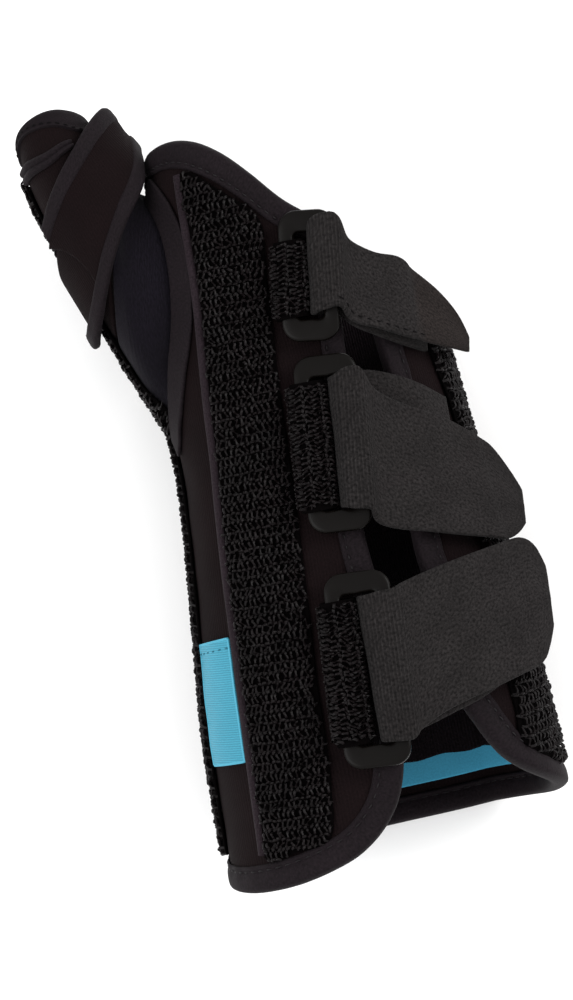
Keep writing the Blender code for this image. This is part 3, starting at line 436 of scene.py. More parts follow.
def body_surfaces():
    """The tube twice: measured by the pattern, and by the true distance across from its top."""
    y = np.linspace(-0.106, 0.106, 107)
    angles = np.linspace(-math.pi, math.pi, 1441)
    x, z = section_points(y, angles)
    length = np.hypot(np.diff(x, axis=1), np.diff(z, axis=1))
    length = np.concatenate([np.zeros((len(y), 1)), np.cumsum(length, axis=1)], axis=1)
    girths = length[:, -1].copy()
    length -= length[:, 720:721]
    turns = np.linspace(-0.5, 1.5, 801)
    points = np.empty((len(y), len(turns), 3))
    for i, place in enumerate(y):
        angle = np.interp((turns - np.floor(turns + 0.5)) * girths[i], length[i], angles)
        points[i, :, 0] = np.interp(angle, angles, x[i])
        points[i, :, 1] = place
        points[i, :, 2] = np.interp(angle, angles, z[i])
    by_pattern = Surface(y, turns, points, 1.0, lambda u, v: (v, u / PATTERN_GIRTH))
    by_distance = Surface(y, turns, points, 1.0, lambda u, v: (v, u / np.interp(v, y, girths)))
    return by_pattern, by_distance, y, girths


BODY, BODY_ACROSS, GIRTH_PLACES, GIRTHS = body_surfaces()


def to_pattern(rows):
    """Pattern places of rows of mm across and mm along."""
    across, along = (np.array(rows, float) * MM).T
    turn = across / np.interp(along, GIRTH_PLACES, GIRTHS)
    return np.stack([np.where(across < 0, turn + 1, turn) * PATTERN_GIRTH, along], axis=1)


def body_height(x, y):
    """Height of the tube's upper side."""
    angles = np.linspace(-math.pi / 2, math.pi / 2, 361)
    section_x, section_z = section_points(np.array([y]), angles)
    return float(np.interp(x, section_x[0], section_z[0]))


def crown(y):
    _, _, height, lift = sections_at(np.array([y]))
    return float(height[0] + lift[0])


def sleeve_ring(along, turn):
    """Points of the thumb sleeve's middle surface: turn 0 is its inner side, a quarter the top."""
    table = read_table(SLEEVE, along)
    outer = np.stack([table[:, 0], table[:, 1], table[:, 4]], axis=1) * MM
    inner = np.stack([table[:, 2], table[:, 3], table[:, 4]], axis=1) * MM
    angle = (math.tau * turn)[:, None]
    points = (outer + inner) / 2 + (inner - outer) / 2 * np.cos(angle)
    points[:, 2] += table[:, 5] * MM * np.sin(angle[:, 0])
    tip = np.maximum(0.0, (along - 0.6) / 0.4) ** 2 * np.maximum(0.0, np.sin(angle[:, 0]))
    return points + np.array([-0.30, 0.95, 0.0]) * TONGUE_REACH * tip[:, None]


def sleeve_surface():
    first = SLEEVE[0][0]
    rows, columns = np.linspace(0.0, 1.0, 121), np.linspace(-0.5, 1.0, 217)
    points = np.empty((len(rows), len(columns), 3))
    opening = read_table(OPENING, columns, 1.0) * MM
    turn = opening[:, 0] / np.interp(opening[:, 1], GIRTH_PLACES, GIRTHS)
    base = BODY.place(turn * PATTERN_GIRTH, opening[:, 1], np.full(len(columns), -WALL / 2))
    ring = sleeve_ring(np.full(len(columns), first), columns)
    slope = (sleeve_ring(np.full(len(columns), first + 0.05), columns) - ring) / 0.05 * first
    for i, along in enumerate(rows):
        if along >= first:
            points[i] = sleeve_ring(np.full(len(columns), along), columns)
            continue
        q = along / first
        points[i] = (base * (2 * q**3 - 3 * q**2 + 1) + (ring - base) * (q**3 - 2 * q**2 + q)
                     + ring * (3 * q**2 - 2 * q**3) + slope * (q**3 - q**2))
    return Surface(rows, columns, points, -1.0, lambda x, y: (y / SLEEVE_LENGTH, x / SLEEVE_GIRTH))


THUMB = sleeve_surface()


def on_thumb(along, turn, offset):
    """One point off the thumb sleeve's middle surface."""
    spot = np.array([turn * SLEEVE_GIRTH]), np.array([along * SLEEVE_LENGTH])
    return THUMB.place(*spot, np.array([offset]))[0]


def ribbon_surface(rows, width, outwards=1.0, parts=14, closed=False):
    """The surface through rows of two edge points: x is metres along it and y metres across."""
    edges = smooth_line(rows, parts, closed)
    if closed:
        edges = np.concatenate([edges, edges[:1]])
    middle = edges.mean(axis=1)
    along = np.concatenate([[0.0], np.cumsum(np.linalg.norm(np.diff(middle, axis=0), axis=1))])
    across = np.linspace(0.0, 1.0, 13)
    points = edges[:, :1] * (1 - across)[None, :, None] + edges[:, 1:] * across[None, :, None]
    return Surface(along, across * width, points, outwards, lambda x, y: (x, y))


def wear(tool, name, finish, replaces=(), sharp=50.0):
    """Turn a shaped bmesh into a finished piece that rides on the brace."""
    bmesh.ops.remove_doubles(tool, verts=tool.verts, dist=1e-6)
    bmesh.ops.recalc_face_normals(tool, faces=tool.faces)
    mesh = bpy.data.meshes.new(name)
    tool.to_mesh(mesh)
    tool.free()
    return wear_mesh(mesh, name, finish, replaces, sharp)


def wear_mesh(mesh, name, finish, replaces=(), sharp=50.0):
    mesh.polygons.foreach_set("use_smooth", [True] * len(mesh.polygons))
    mesh.set_sharp_from_angle(angle=math.radians(sharp))
    mesh.materials.clear()
    mesh.materials.append(finish)
    piece = bpy.data.objects.new(name, mesh)
    bpy.context.scene.collection.objects.link(piece)
    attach(piece, "root")
    if replaces:
        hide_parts(*replaces)
    return piece


def places_of(mesh):
    flat = np.empty(len(mesh.vertices) * 3, np.float32)
    mesh.vertices.foreach_get("co", flat)
    return flat.reshape(-1, 3).astype(float)


def pattern_uv(mesh, flat):
    """Keep each corner's flat place, in metres, for patterns that follow the cloth."""
    layer = mesh.uv_layers.new(name="cloth")
    corners = np.empty(len(mesh.loops), np.int32)
    mesh.loops.foreach_get("vertex_index", corners)
    layer.data.foreach_set("uv", flat[corners][:, :2].astype(np.float32).ravel())


def cut_flat(outline, low, high, cell, edge=0.0):
    """A flat piece cut to an outline, crossed by bending lines, with its thickness and softened edges."""
    tool = bmesh.new()
    rim = tool.verts.layers.float.new("rim")
    face = tool.faces.new([tool.verts.new((x, y, 0.0)) for x, y in outline])
    face.normal_update()
    if face.normal.z > 0:
        face.normal_flip()
    if edge:
        for share in (0.35, 0.65):
            border = {v for e in tool.edges if e.is_boundary for v in e.verts}
            bmesh.ops.inset_region(tool, faces=[face], thickness=edge * share, use_even_offset=True,
                                   use_boundary=True)
            for vertex in face.verts:
                vertex[rim] = min(v[rim] for v in border) + share
    else:
        for vertex in tool.verts:
            vertex[rim] = 1.0
    for axis in (0, 1):
        reach = outline[:, axis]
        for k in range(math.ceil(reach.min() / cell[axis]), math.floor(reach.max() / cell[axis]) + 1):
            spot, way = [0.0, 0.0, 0.0], [0.0, 0.0, 0.0]
            spot[axis], way[axis] = k * cell[axis], 1.0
            bmesh.ops.bisect_plane(tool, geom=tool.verts[:] + tool.edges[:] + tool.faces[:], dist=1e-5,
                                   plane_co=spot, plane_no=way)
    grown = bmesh.ops.extrude_face_region(tool, geom=tool.faces[:])
    tops = {v for v in grown["geom"] if isinstance(v, bmesh.types.BMVert)}
    middle, half = (low + high) / 2, (high - low) / 2
    for vertex in tool.verts:
        depth = 1.0 - vertex[rim]
        full = math.sqrt(max(0.0, 1.0 - 0.85 * depth**2))
        vertex.co.z = middle + (half if vertex in tops else -half) * full
    bmesh.ops.recalc_face_normals(tool, faces=tool.faces)
    return tool


def cloth(name, outline, low, high, surface, finish, cell=None, edge=0.0, relief=None, replaces=(),
          hole=None):
    """A piece of cloth cut flat and laid on a surface."""
    size = bpy.context.scene.brace_sizes.panel_cell
    tool = cut_flat(outline, low, high, cell or (size, size), edge)
    mesh = bpy.data.meshes.new(name)
    tool.to_mesh(mesh)
    tool.free()
    if hole is not None:
        mesh = punch(mesh, hole)
    flat = places_of(mesh)
    pattern_uv(mesh, flat)
    lift = relief(flat[:, 0], flat[:, 1]) if relief else 0.0
    placed = surface.place(flat[:, 0], flat[:, 1], flat[:, 2] + lift)
    mesh.vertices.foreach_set("co", placed.astype(np.float32).ravel())
    mesh.update()
    tool = bmesh.new()
    tool.from_mesh(mesh)
    return wear(tool, name, finish, replaces)


def punch(mesh, loop):
    """Cut a hole through a flat piece."""
    tool = bmesh.new()
    tool.faces.new([tool.verts.new((x, y, -0.02)) for x, y in loop])
    grown = bmesh.ops.extrude_face_region(tool, geom=tool.faces[:])
    tops = [v for v in grown["geom"] if isinstance(v, bmesh.types.BMVert)]
    bmesh.ops.translate(tool, verts=tops, vec=(0, 0, 0.04))
    bmesh.ops.recalc_face_normals(tool, faces=tool.faces)
    cutter_mesh = bpy.data.meshes.new("cutter")
    tool.to_mesh(cutter_mesh)
    tool.free()
    piece = bpy.data.objects.new("uncut", mesh)
    cutter = bpy.data.objects.new("cutter", cutter_mesh)
    for item in (piece, cutter):
        bpy.context.scene.collection.objects.link(item)
    cut = piece.modifiers.new("opening", "BOOLEAN")
    cut.operation = "DIFFERENCE"
    cut.solver = "EXACT"
    cut.object = cutter
    graph = bpy.context.evaluated_depsgraph_get()
    finished = bpy.data.meshes.new_from_object(piece.evaluated_get(graph))
    bpy.data.objects.remove(piece, do_unlink=True)
    bpy.data.objects.remove(cutter, do_unlink=True)
    return finished


def rolled(name, stations, section, place, finish, metres, replaces=(), closed=True, sharp=50.0):
    """A closed section carried along stations: place() takes station numbers and section points."""
    tool = bmesh.new()
    along, around = len(stations), len(section)
    columns = along if closed else along - 1
    bmesh.ops.create_grid(tool, x_segments=columns, y_segments=around, size=0.5)
    grid = tool.loops.layers.uv.new("cloth")
    for face in tool.faces:
        for corner in face.loops:
            spot = corner.vert.co
            corner[grid].uv = ((spot.x + 0.5) * metres[0], (spot.y + 0.5) * metres[1])
    flat = np.array([v.co[:] for v in tool.verts])
    i = np.rint((flat[:, 0] + 0.5) * columns).astype(int) % along
    j = np.rint((flat[:, 1] + 0.5) * around).astype(int) % around
    for vertex, point in zip(tool.verts, place(i, j)):
        vertex.co = point
    bmesh.ops.remove_doubles(tool, verts=tool.verts, dist=1e-6)
    if not closed:
        bmesh.ops.holes_fill(tool, edges=[e for e in tool.edges if e.is_boundary], sides=0)
    return wear(tool, name, finish, replaces, sharp)


def copies(prototype, count):
    """Places and the mesh of many copies of a small shape, in order."""
    item = bpy.data.objects.new("one", prototype)
    bpy.context.scene.collection.objects.link(item)
    array = item.modifiers.new("copies", "ARRAY")
    array.count = count
    array.use_relative_offset = False
    array.use_constant_offset = True
    array.constant_offset_displace = (0.0, 0.0, 0.0)
    graph = bpy.context.evaluated_depsgraph_get()
    mesh = bpy.data.meshes.new_from_object(item.evaluated_get(graph))
    bpy.data.objects.remove(item, do_unlink=True)
    return mesh, places_of(mesh).reshape(count, -1, 3)


def thread_shape():
    """One stitch: a short round-ended bar of unit size."""
    tool = bmesh.new()
    bmesh.ops.create_uvsphere(tool, u_segments=6, v_segments=5, radius=0.5)
    bmesh.ops.rotate(tool, verts=tool.verts, cent=(0, 0, 0), matrix=Matrix.Rotation(math.pi / 2, 3, "Y"))
    mesh = bpy.data.meshes.new("stitch")
    tool.to_mesh(mesh)
    tool.free()
    return mesh


def stitches(name, line, surface, offset, closed=False, step=None, finish=None):
    """A row of stitches along a flat line on a surface."""
    sizes = bpy.context.scene.brace_sizes
    line = even_line(line, step or sizes.stitch_step, closed)
    course = -line_sides(line, closed)[:, ::-1] * np.array([-1.0, 1.0])
    side = line_sides(line, closed)
    count = len(line)
    mesh, unit = copies(thread_shape(), count)
    generator = np.random.default_rng(len(name) + count)
    lean = generator.normal(0.0, 0.06, count)[:, None]
    length = unit[:, :, 0] * sizes.stitch * (1 + generator.normal(0.0, 0.06, count)[:, None])
    width = unit[:, :, 1] * sizes.thread
    x = line[:, 0:1] + course[:, 0:1] * length + side[:, 0:1] * (width + lean * length)
    y = line[:, 1:2] + course[:, 1:2] * length + side[:, 1:2] * (width + lean * length)
    rise = offset(x, y) if callable(offset) else offset
    height = rise + unit[:, :, 2] * sizes.thread * 0.8 - 1.2 * sizes.thread * (2 * unit[:, :, 0]) ** 4
    flat = [v.ravel() for v in (x, y, height)]
    placed = surface.place(*flat)
    mesh.vertices.foreach_set("co", placed.astype(np.float32).ravel())
    mesh.update()
    return wear_mesh(mesh, name, finish or thread_finish())


def loop_shape(sides=5, steps=5):
    """One pile loop: a bent yarn along Y, both ends sunk into the backing."""
    tool = bmesh.new()
    ring = bmesh.ops.create_circle(tool, segments=sides, radius=0.5)["verts"]
    bmesh.ops.rotate(tool, verts=ring, cent=(0, 0, 0), matrix=Matrix.Rotation(math.pi / 2, 3, "X"))
    bmesh.ops.translate(tool, verts=ring, vec=(0, -0.5, 0))
    edges = tool.edges[:]
    for _ in range(steps):
        grown = bmesh.ops.extrude_edge_only(tool, edges=edges)
        tops = [v for v in grown["geom"] if isinstance(v, bmesh.types.BMVert)]
        edges = [e for e in grown["geom"] if isinstance(e, bmesh.types.BMEdge)]
        bmesh.ops.translate(tool, verts=tops, vec=(0, 1 / steps, 0))
    bmesh.ops.holes_fill(tool, edges=[e for e in tool.edges if e.is_boundary], sides=0)
    bmesh.ops.recalc_face_normals(tool, faces=tool.faces)
    mesh = bpy.data.meshes.new("loop")
    tool.to_mesh(mesh)
    tool.free()
    return mesh


def loop_pile(name, outline, surface, base, heading=0.0, margin=0.0004, spread=1.0):
    """Rows of crimped loops over a flat outline: tall slanted strokes between rows of short flat ones."""
    sizes = bpy.context.scene.brace_sizes
    generator = np.random.default_rng(7 + len(name))
    across, along = sizes.loop_across * spread, sizes.loop_along * spread
    low, high = outline.min(axis=0), outline.max(axis=0)
    if heading:
        across, along = along, across
    columns = np.arange(math.floor(low[0] / across), math.ceil(high[0] / across) + 1)
    rows = np.arange(math.floor(low[1] / along), math.ceil(high[1] / along) + 1)
    spots = np.stack(np.meshgrid(columns * across, rows * along, indexing="ij"), axis=-1).reshape(-1, 2)
    # Kinds: share of the repeat along it, share across, length in mm, slant, S-bend in mm
    kinds = ((0.00, 0.0, 2.3, 0.50, 0.45), (0.26, 0.5, 1.5, 1.20, 0.15), (0.50, 0.5, 2.3, -0.40, -0.45),
             (0.76, 0.0, 1.5, -1.15, 0.15))
    chosen = []
    for share_along, share_across, length, slant, bend in kinds:
        moved = spots.copy()
        step = np.array([share_along * across, share_across * along]) if heading else \
            np.array([share_across * across, share_along * along])
        moved += step + generator.normal(0.0, 0.11 * sizes.loop_across, moved.shape)
        kept = moved[inside(moved, inset(outline, margin))]
        tilt = slant + heading + generator.normal(0.0, 0.22, len(kept))
        size = np.full(len(kept), length * MM * spread) * generator.normal(1.0, 0.1, len(kept))
        curl = np.full(len(kept), bend * MM) * generator.normal(1.0, 0.4, len(kept))
        chosen.append(np.column_stack([kept, tilt, size, curl, generator.normal(1.0, 0.18, len(kept))]))
    chosen = np.concatenate(chosen)
    mesh, unit = copies(loop_shape(), len(chosen))
    share = unit[:, :, 1] + 0.5
    side = unit[:, :, 0] * sizes.yarn + chosen[:, 4:5] * np.sin(math.tau * share)
    forward = unit[:, :, 1] * chosen[:, 3:4]
    height = unit[:, :, 2] * sizes.yarn + sizes.loop_rise * chosen[:, 5:6] * (np.sin(math.pi * share) ** 0.6 - 0.25)
    cosine, sine = np.cos(chosen[:, 2:3]), np.sin(chosen[:, 2:3])
    x = chosen[:, 0:1] + side * cosine + forward * sine
    y = chosen[:, 1:2] - side * sine + forward * cosine
    placed = surface.place(x.ravel(), y.ravel(), (base + height).ravel())
    mesh.vertices.foreach_set("co", placed.astype(np.float32).ravel())
    mesh.update()
    return wear_mesh(mesh, name, pile_finish())


def node(tree, kind, settings=None, links=()):
    """Add a node, with its settings and its links: (input, node, output)."""
    item = tree.nodes.new(kind)
    for key, value in (settings or {}).items():
        if isinstance(key, int) or key in item.inputs:
            item.inputs[key].default_value = value
        else:
            setattr(item, key, value)
    for socket, source, output in links:
        tree.links.new(source.outputs[output], item.inputs[socket])
    return item


def start_finish(name):
    """A new material and its node tree, emptied of nodes."""
    finish = bpy.data.materials.new(name)
    finish.use_nodes = True
    finish.node_tree.nodes.clear()
    return finish, finish.node_tree


def made(name):
    return bpy.data.materials.get(name)


def woven(name, colour, roughness, grain_mm, bump_mm, sheen=0.0, specular=0.05, rib_mm=0.0, rib_depth=0.0,
          painted_rib_shading=0.2, rib_turn=0.0, tone=0.15, speck=0.3, patch_mm=18.0, coordinates="UV", folded=False, far_end=None):
    """Cloth: fine grain, optional ribs with painted shade in their grooves and painted highlight on their crests, and
    a slow change of tone as where a hand has brushed it.
    """
    if made(name):
        return made(name)
    finish, tree = start_finish(name)
    place = node(tree, "ShaderNodeTexCoord")
    scaled = node(tree, "ShaderNodeMapping", {"Scale": (1000.0, 1000.0, 1000.0), "Rotation": (0, 0, rib_turn)},
                  [("Vector", place, coordinates)])
    grain = node(tree, "ShaderNodeTexNoise", {"Scale": 1.0 / grain_mm, "Detail": 2.0, "Roughness": 0.6},
                 [("Vector", scaled, "Vector")])
    slow = node(tree, "ShaderNodeTexNoise", {"Scale": 1.0 / patch_mm, "Detail": 2.0},
                [("Vector", scaled, "Vector")])
    shade = node(tree, "ShaderNodeMapRange",
                 {"From Min": 0.3, "From Max": 0.7, "To Min": 1 - tone, "To Max": 1 + tone},
                 [("Value", slow, "Fac")])
    dots = node(tree, "ShaderNodeMapRange",
                {"From Min": 0.3, "From Max": 0.7, "To Min": 1 - speck, "To Max": 1 + speck},
                [("Value", grain, "Fac")])
    both = node(tree, "ShaderNodeMath", {"operation": "MULTIPLY"}, [(0, shade, "Result"), (1, dots, "Result")])
    height, output = grain, "Fac"
    if rib_depth:
        rib = node(tree, "ShaderNodeTexWave",
                   {"Scale": math.pi / 10 / rib_mm, "Distortion": 0.8, "Detail": 1.0, "Detail Scale": 3.0},
                   [("Vector", scaled, "Vector")])
        centred = node(tree, "ShaderNodeMath", {"operation": "SUBTRACT", 1: 0.5}, [(0, rib, "Fac")])
        if folded:
            mask = node(tree, "ShaderNodeAttribute", {"attribute_name": "folded"})
            centred = node(tree, "ShaderNodeMath", {"operation": "MULTIPLY"},
                           [(0, centred, "Value"), (1, mask, "Fac")])
        # Painted shade and highlight: the rib wave darkens the colour in the grooves and lightens it on the crests
        lines = node(tree, "ShaderNodeMath", {"operation": "MULTIPLY_ADD", 1: 2 * painted_rib_shading, 2: 1.0},
                     [(0, centred, "Value")])
        both = node(tree, "ShaderNodeMath", {"operation": "MULTIPLY"}, [(0, both, "Value"), (1, lines, "Value")])
        height = node(tree, "ShaderNodeMath", {"operation": "MULTIPLY_ADD", 1: rib_depth},
                      [(0, centred, "Value"), (2, grain, "Fac")])
        output = "Value"
    dyed = node(tree, "ShaderNodeVectorMath", {"operation": "SCALE", 0: tuple(colour)}, [("Scale", both, "Value")])
    if far_end:
        start, other = far_end
        wander = node(tree, "ShaderNodeTexNoise", {"Scale": 0.08, "Detail": 1.0}, [("Vector", scaled, "Vector")])
        split = node(tree, "ShaderNodeSeparateXYZ", None, [(0, scaled, "Vector")])
        bent = node(tree, "ShaderNodeMath", {"operation": "MULTIPLY_ADD", 1: 8.0}, [(0, wander, "Fac"), (2, split, "X")])
        share = node(tree, "ShaderNodeMapRange", {"From Min": start / MM + 3.0, "From Max": start / MM + 6.0},
                     [("Value", bent, "Value")])
        mixed = node(tree, "ShaderNodeMix", {"data_type": "RGBA", 6: (*colour, 1.0), 7: (*other, 1.0)},
                     [(0, share, "Result")])
        tree.links.new(mixed.outputs[2], dyed.inputs[0])
    bump = node(tree, "ShaderNodeBump", {"Strength": 1.0, "Distance": bump_mm * MM}, [("Height", height, output)])
    skin = node(tree, "ShaderNodeBsdfPrincipled",
                {"Roughness": roughness, "Sheen Weight": sheen, "Sheen Roughness": 0.5,
                 "Specular IOR Level": specular},
                [("Base Color", dyed, "Vector"), ("Normal", bump, "Normal")])
    node(tree, "ShaderNodeOutputMaterial", None, [("Surface", skin, "BSDF")])
    return finish


def colours():
    return bpy.context.scene.brace_colours


def panel_finish():
    # Brushed nylon tricot laminate: a matte brown-black nap with faint lengthwise wales, with painted shade in their
    # grooves and painted highlight on their crests
    return woven("brushed_nylon_tricot", colours().panel, 0.85, 0.5, 0.12, sheen=0.006, rib_mm=0.9, rib_depth=0.5,
                 painted_rib_shading=0.10)


def tape_finish():
    # Folded nylon binding tape: a little greyer than the panels, with a fine close grain
    return woven("folded_nylon_tape", colours().tape, 0.75, 0.6, 0.16, sheen=0.01, specular=0.07, speck=0.45)


def ridge_finish():
    # Woven selvedge beside the loop strip: paler and dustier than the tape
    return woven("woven_selvedge", [2.1 * c for c in colours().tape], 0.85, 0.5, 0.15, sheen=0.03, speck=0.45)


def knit_finish():
    # Ribbed polyester knit: fine slanting ribs with a cool cast, with painted shade in the ribs' grooves and painted
    # highlight on their crests
    return woven("ribbed_polyester_knit", colours().knit, 0.85, 0.6, 0.2, sheen=0.03, rib_mm=0.7, rib_depth=0.8,
                 painted_rib_shading=0.35, rib_turn=math.radians(62), speck=0.6)


def inner_knit_finish():
    # The same yarn knitted plainly inside the tube, where less light reaches it, with painted shade in the ribs'
    # grooves and painted highlight on their crests
    return woven("plain_polyester_knit", [0.75 * c for c in colours().tape], 0.85, 0.7, 0.25, rib_mm=0.8,
                 rib_depth=0.8, speck=0.6)


def painted_shade_backing_finish():
    # Loop fabric's ground: a quarter of the yarn's colour, painted shade for the dark gaps between the loops
    return woven("loop_ground_painted_shade", [0.25 * c for c in colours().pile], 0.9, 0.6, 0.1, specular=0.02)


def pile_finish():
    # Crimped nylon loops: smooth yarn that catches small bright lines
    return woven("crimped_nylon_loops", colours().pile, 0.45, 0.3, 0.02, specular=0.13, tone=0.4, patch_mm=7.0,
                 coordinates="Object")


def strap_finish(name="brushed_strap_laminate", far_end=None):
    # Strap laminate with a brushed face: soft, charcoal and mottled, ribbed where it is folded, with painted shade in
    # the ribs' grooves and painted highlight on their crests
    return woven(name, colours().strap, 0.85, 0.75, 0.22, sheen=0.02, rib_mm=0.85, rib_depth=1.2,
                 painted_rib_shading=0.22, tone=0.12, speck=0.62, patch_mm=9.0, folded=True, far_end=far_end)


def thread_finish():
    # Polyester sewing thread: a little lighter and shinier than the tape it holds
    return woven("polyester_thread", colours().thread, 0.5, 0.3, 0.02, specular=0.15, coordinates="Object")


def dark_thread_finish():
    # Thread of the strap's hem, darker than the strap
    return woven("dark_polyester_thread", [0.3 * c for c in colours().thread], 0.6, 0.3, 0.02, coordinates="Object")


def ring_finish():
    # Injection moulded acetal: satin black with soft highlights on its rounded ends
    return woven("moulded_acetal", colours().ring, 0.32, 0.35, 0.008, specular=0.09, tone=0.06, speck=0.1,
                 coordinates="Object")


def label_finish():
    # Woven polyester satin: fine crosswise picks, with painted shade in their grooves and painted highlight on their
    # crests
    return woven("teal_woven_satin", colours().label, 0.5, 0.45, 0.06, sheen=0.03, specular=0.1, rib_mm=0.6,
                 rib_depth=0.5, rib_turn=math.pi / 2, tone=0.04, speck=0.1)


def label_edge_finish():
    # Border of the woven label: the same satin in its paler weft
    return woven("pale_teal_weft", [1.25 * c + 0.02 for c in colours().label], 0.5, 0.45, 0.05, tone=0.04, speck=0.12)


def label_thread_finish():
    # Thread that holds the label, a darker teal
    return woven("dark_teal_thread", [0.5 * c for c in colours().label], 0.5, 0.3, 0.02, coordinates="Object")


def lining_finish():
    # Teal lining tricot: smooth and even
    return woven("teal_lining_tricot", colours().lining, 0.6, 0.5, 0.05, sheen=0.03, tone=0.06, speck=0.12)


def outline_of_body():
    rough = np.array([(turn * PATTERN_GIRTH, along * MM) for turn, along in OUTLINE])
    return even_line(smooth_line(rough, 24, True), 0.0014, True)


def outline_of_opening(grown):
    turns = np.arange(160) / 160
    across, along = read_table(OPENING, turns, 1.0).T * MM
    turn = across / np.interp(along, GIRTH_PLACES, GIRTHS) + 1.0
    loop = even_line(np.stack([turn * PATTERN_GIRTH, along], axis=1), 0.0014, True)
    return inset(loop, -grown)


def cut_line(rows):
    """A closed flat outline, in metres, from rows of mm."""
    return even_line(smooth_line(np.array(rows, float) * MM, 16, True), 0.0012, True)


class BRACE_OT_body_panel(bpy.types.Operator):
    """Laminated panel of the body, with the thumb opening cut through it"""

    bl_idname = "brace.body_panel"
    bl_label = "Body panel"

    def execute(self, context):
        edge = inset(outline_of_body(), 0.0009)
        hole = outline_of_opening(SLEEVE_WALL / 2 + 2.5 * FIT_GAP)
        cloth("body_panel", edge, -WALL, 0.0, BODY, panel_finish(), hole=hole, replaces=["shell"],
              relief=lambda x, y: unevenness(x, y, 0.00022, 0.019))
        return {"FINISHED"}


def cut_across(loop, line, side):
    """The part of a closed loop on one side of a line that runs across it."""
    kept = side * (loop[:, 1] - line(loop[:, 0])) > 0
    start = int(np.flatnonzero(kept & ~np.roll(kept, 1))[0])
    loop, kept = np.roll(loop, -start, axis=0), np.roll(kept, -start)
    arc = loop[:int(np.flatnonzero(~kept)[0])]
    across = np.linspace(arc[-1, 0], arc[0, 0], 90)
    return even_line(np.concatenate([arc, np.column_stack([across, line(across)])]), 0.0016, True)


class BRACE_OT_inside(bpy.types.Operator):
    """Knit and teal lining inside the tube"""

    bl_idname = "brace.inside"
    bl_label = "Knit and lining"

    def execute(self, context):
        edge = outline_of_body()
        low = edge[:, 1].min()
        inner = inset(edge, BINDING_WIDTH + FIT_GAP, 3)
        knit_high = -WALL - 2 * FIT_GAP - LINING_PANEL - FIT_GAP

        def knit_end(x):
            lean = 0.02 * np.maximum(0.0, 0.5 * PATTERN_GIRTH - x)
            return low + KNIT_START + lean + 0.0004 * np.sin(x * math.tau / 0.013)

        cloth("knit_panel", cut_across(inner, knit_end, 1), knit_high - KNIT_PANEL, knit_high, BODY,
              inner_knit_finish(), cell=(0.0025, 0.0025), replaces=["inner_knit"],
              hole=outline_of_opening(SLEEVE_WALL / 2 + 0.003), edge=0.0005,
              relief=lambda x, y: unevenness(x, y, 0.0003, 0.024))
        inner = inset(edge, BINDING_WIDTH + 9 * FIT_GAP, 3)
        cloth("lining_strip", cut_across(inner, lambda x: np.full(len(x), low + LINING_REACH), -1),
              -WALL - FIT_GAP - LINING_PANEL, -WALL - FIT_GAP, BODY, lining_finish(), cell=(0.0025, 0.0025),
              replaces=["lining"], edge=0.0005)
        return {"FINISHED"}


class BRACE_OT_edge_tape(bpy.types.Operator):
    """Folded tape sewn over the panel's cut edge"""

    bl_idname = "brace.edge_tape"
    bl_label = "Edge tape"

    def execute(self, context):
        edge = outline_of_body()
        inwards = inset(edge, 1.0, 3) - edge
        section = smooth_line(np.array(TAPE_SECTION) * MM, 2, True)
        run = np.arange(len(edge)) * 0.0014
        pucker = 0.00016 * np.sin(math.tau * run / 0.0067) + unevenness(run, run * 0.3, 0.0002, 0.023)

        def place(i, j):
            deep, off = section[j].T
            flat = edge[i] + inwards[i] * deep[:, None]
            near_stitch = np.exp(-((deep - STITCH_LINE) / 0.0022) ** 2)
            off = off + np.where(off > -WALL / 2, 1.0, -1.0) * pucker[i] * near_stitch
            return BODY.place(flat[:, 0], flat[:, 1], off)

        length = len(edge) * 0.0014
        rolled("edge_tape", edge, section, place, tape_finish(), (length, 0.026), replaces=["edge_binding"],
               sharp=80.0)
        row = edge + inwards * STITCH_LINE
        stitches("edge_tape_stitches", row, BODY, 0.00082, closed=True)
        stitches("edge_tape_inner_stitches", row, BODY, -0.0031, closed=True)
        return {"FINISHED"}


class BRACE_OT_loop_strips(bpy.types.Operator):
    """Loop fabric strips on the front, back and right of the body"""

    bl_idname = "brace.loop_strips"
    bl_label = "Loop strips"

    def execute(self, context):
        for name, rows, spread in (("front_loop_strip", FRONT_STRIP, 1.0), ("right_loop_strip", RIGHT_STRIP, 1.1),
                                   ("back_loop_strip", BACK_STRIP, 1.1)):
            outline = cut_line(rows)
            cloth(name.replace("loop_strip", "strip_ground"), outline, FIT_GAP, FIT_GAP + LOOP_BACKING, BODY_ACROSS,
                  painted_shade_backing_finish(), edge=0.0003, replaces=[name],
                  relief=lambda x, y: unevenness(x, y, 0.00008, 0.02) + 0.00015)
            loop_pile(name.replace("loop_strip", "strip_loops"), outline, BODY_ACROSS, 2 * FIT_GAP + LOOP_BACKING,
                      spread=spread)
        return {"FINISHED"}


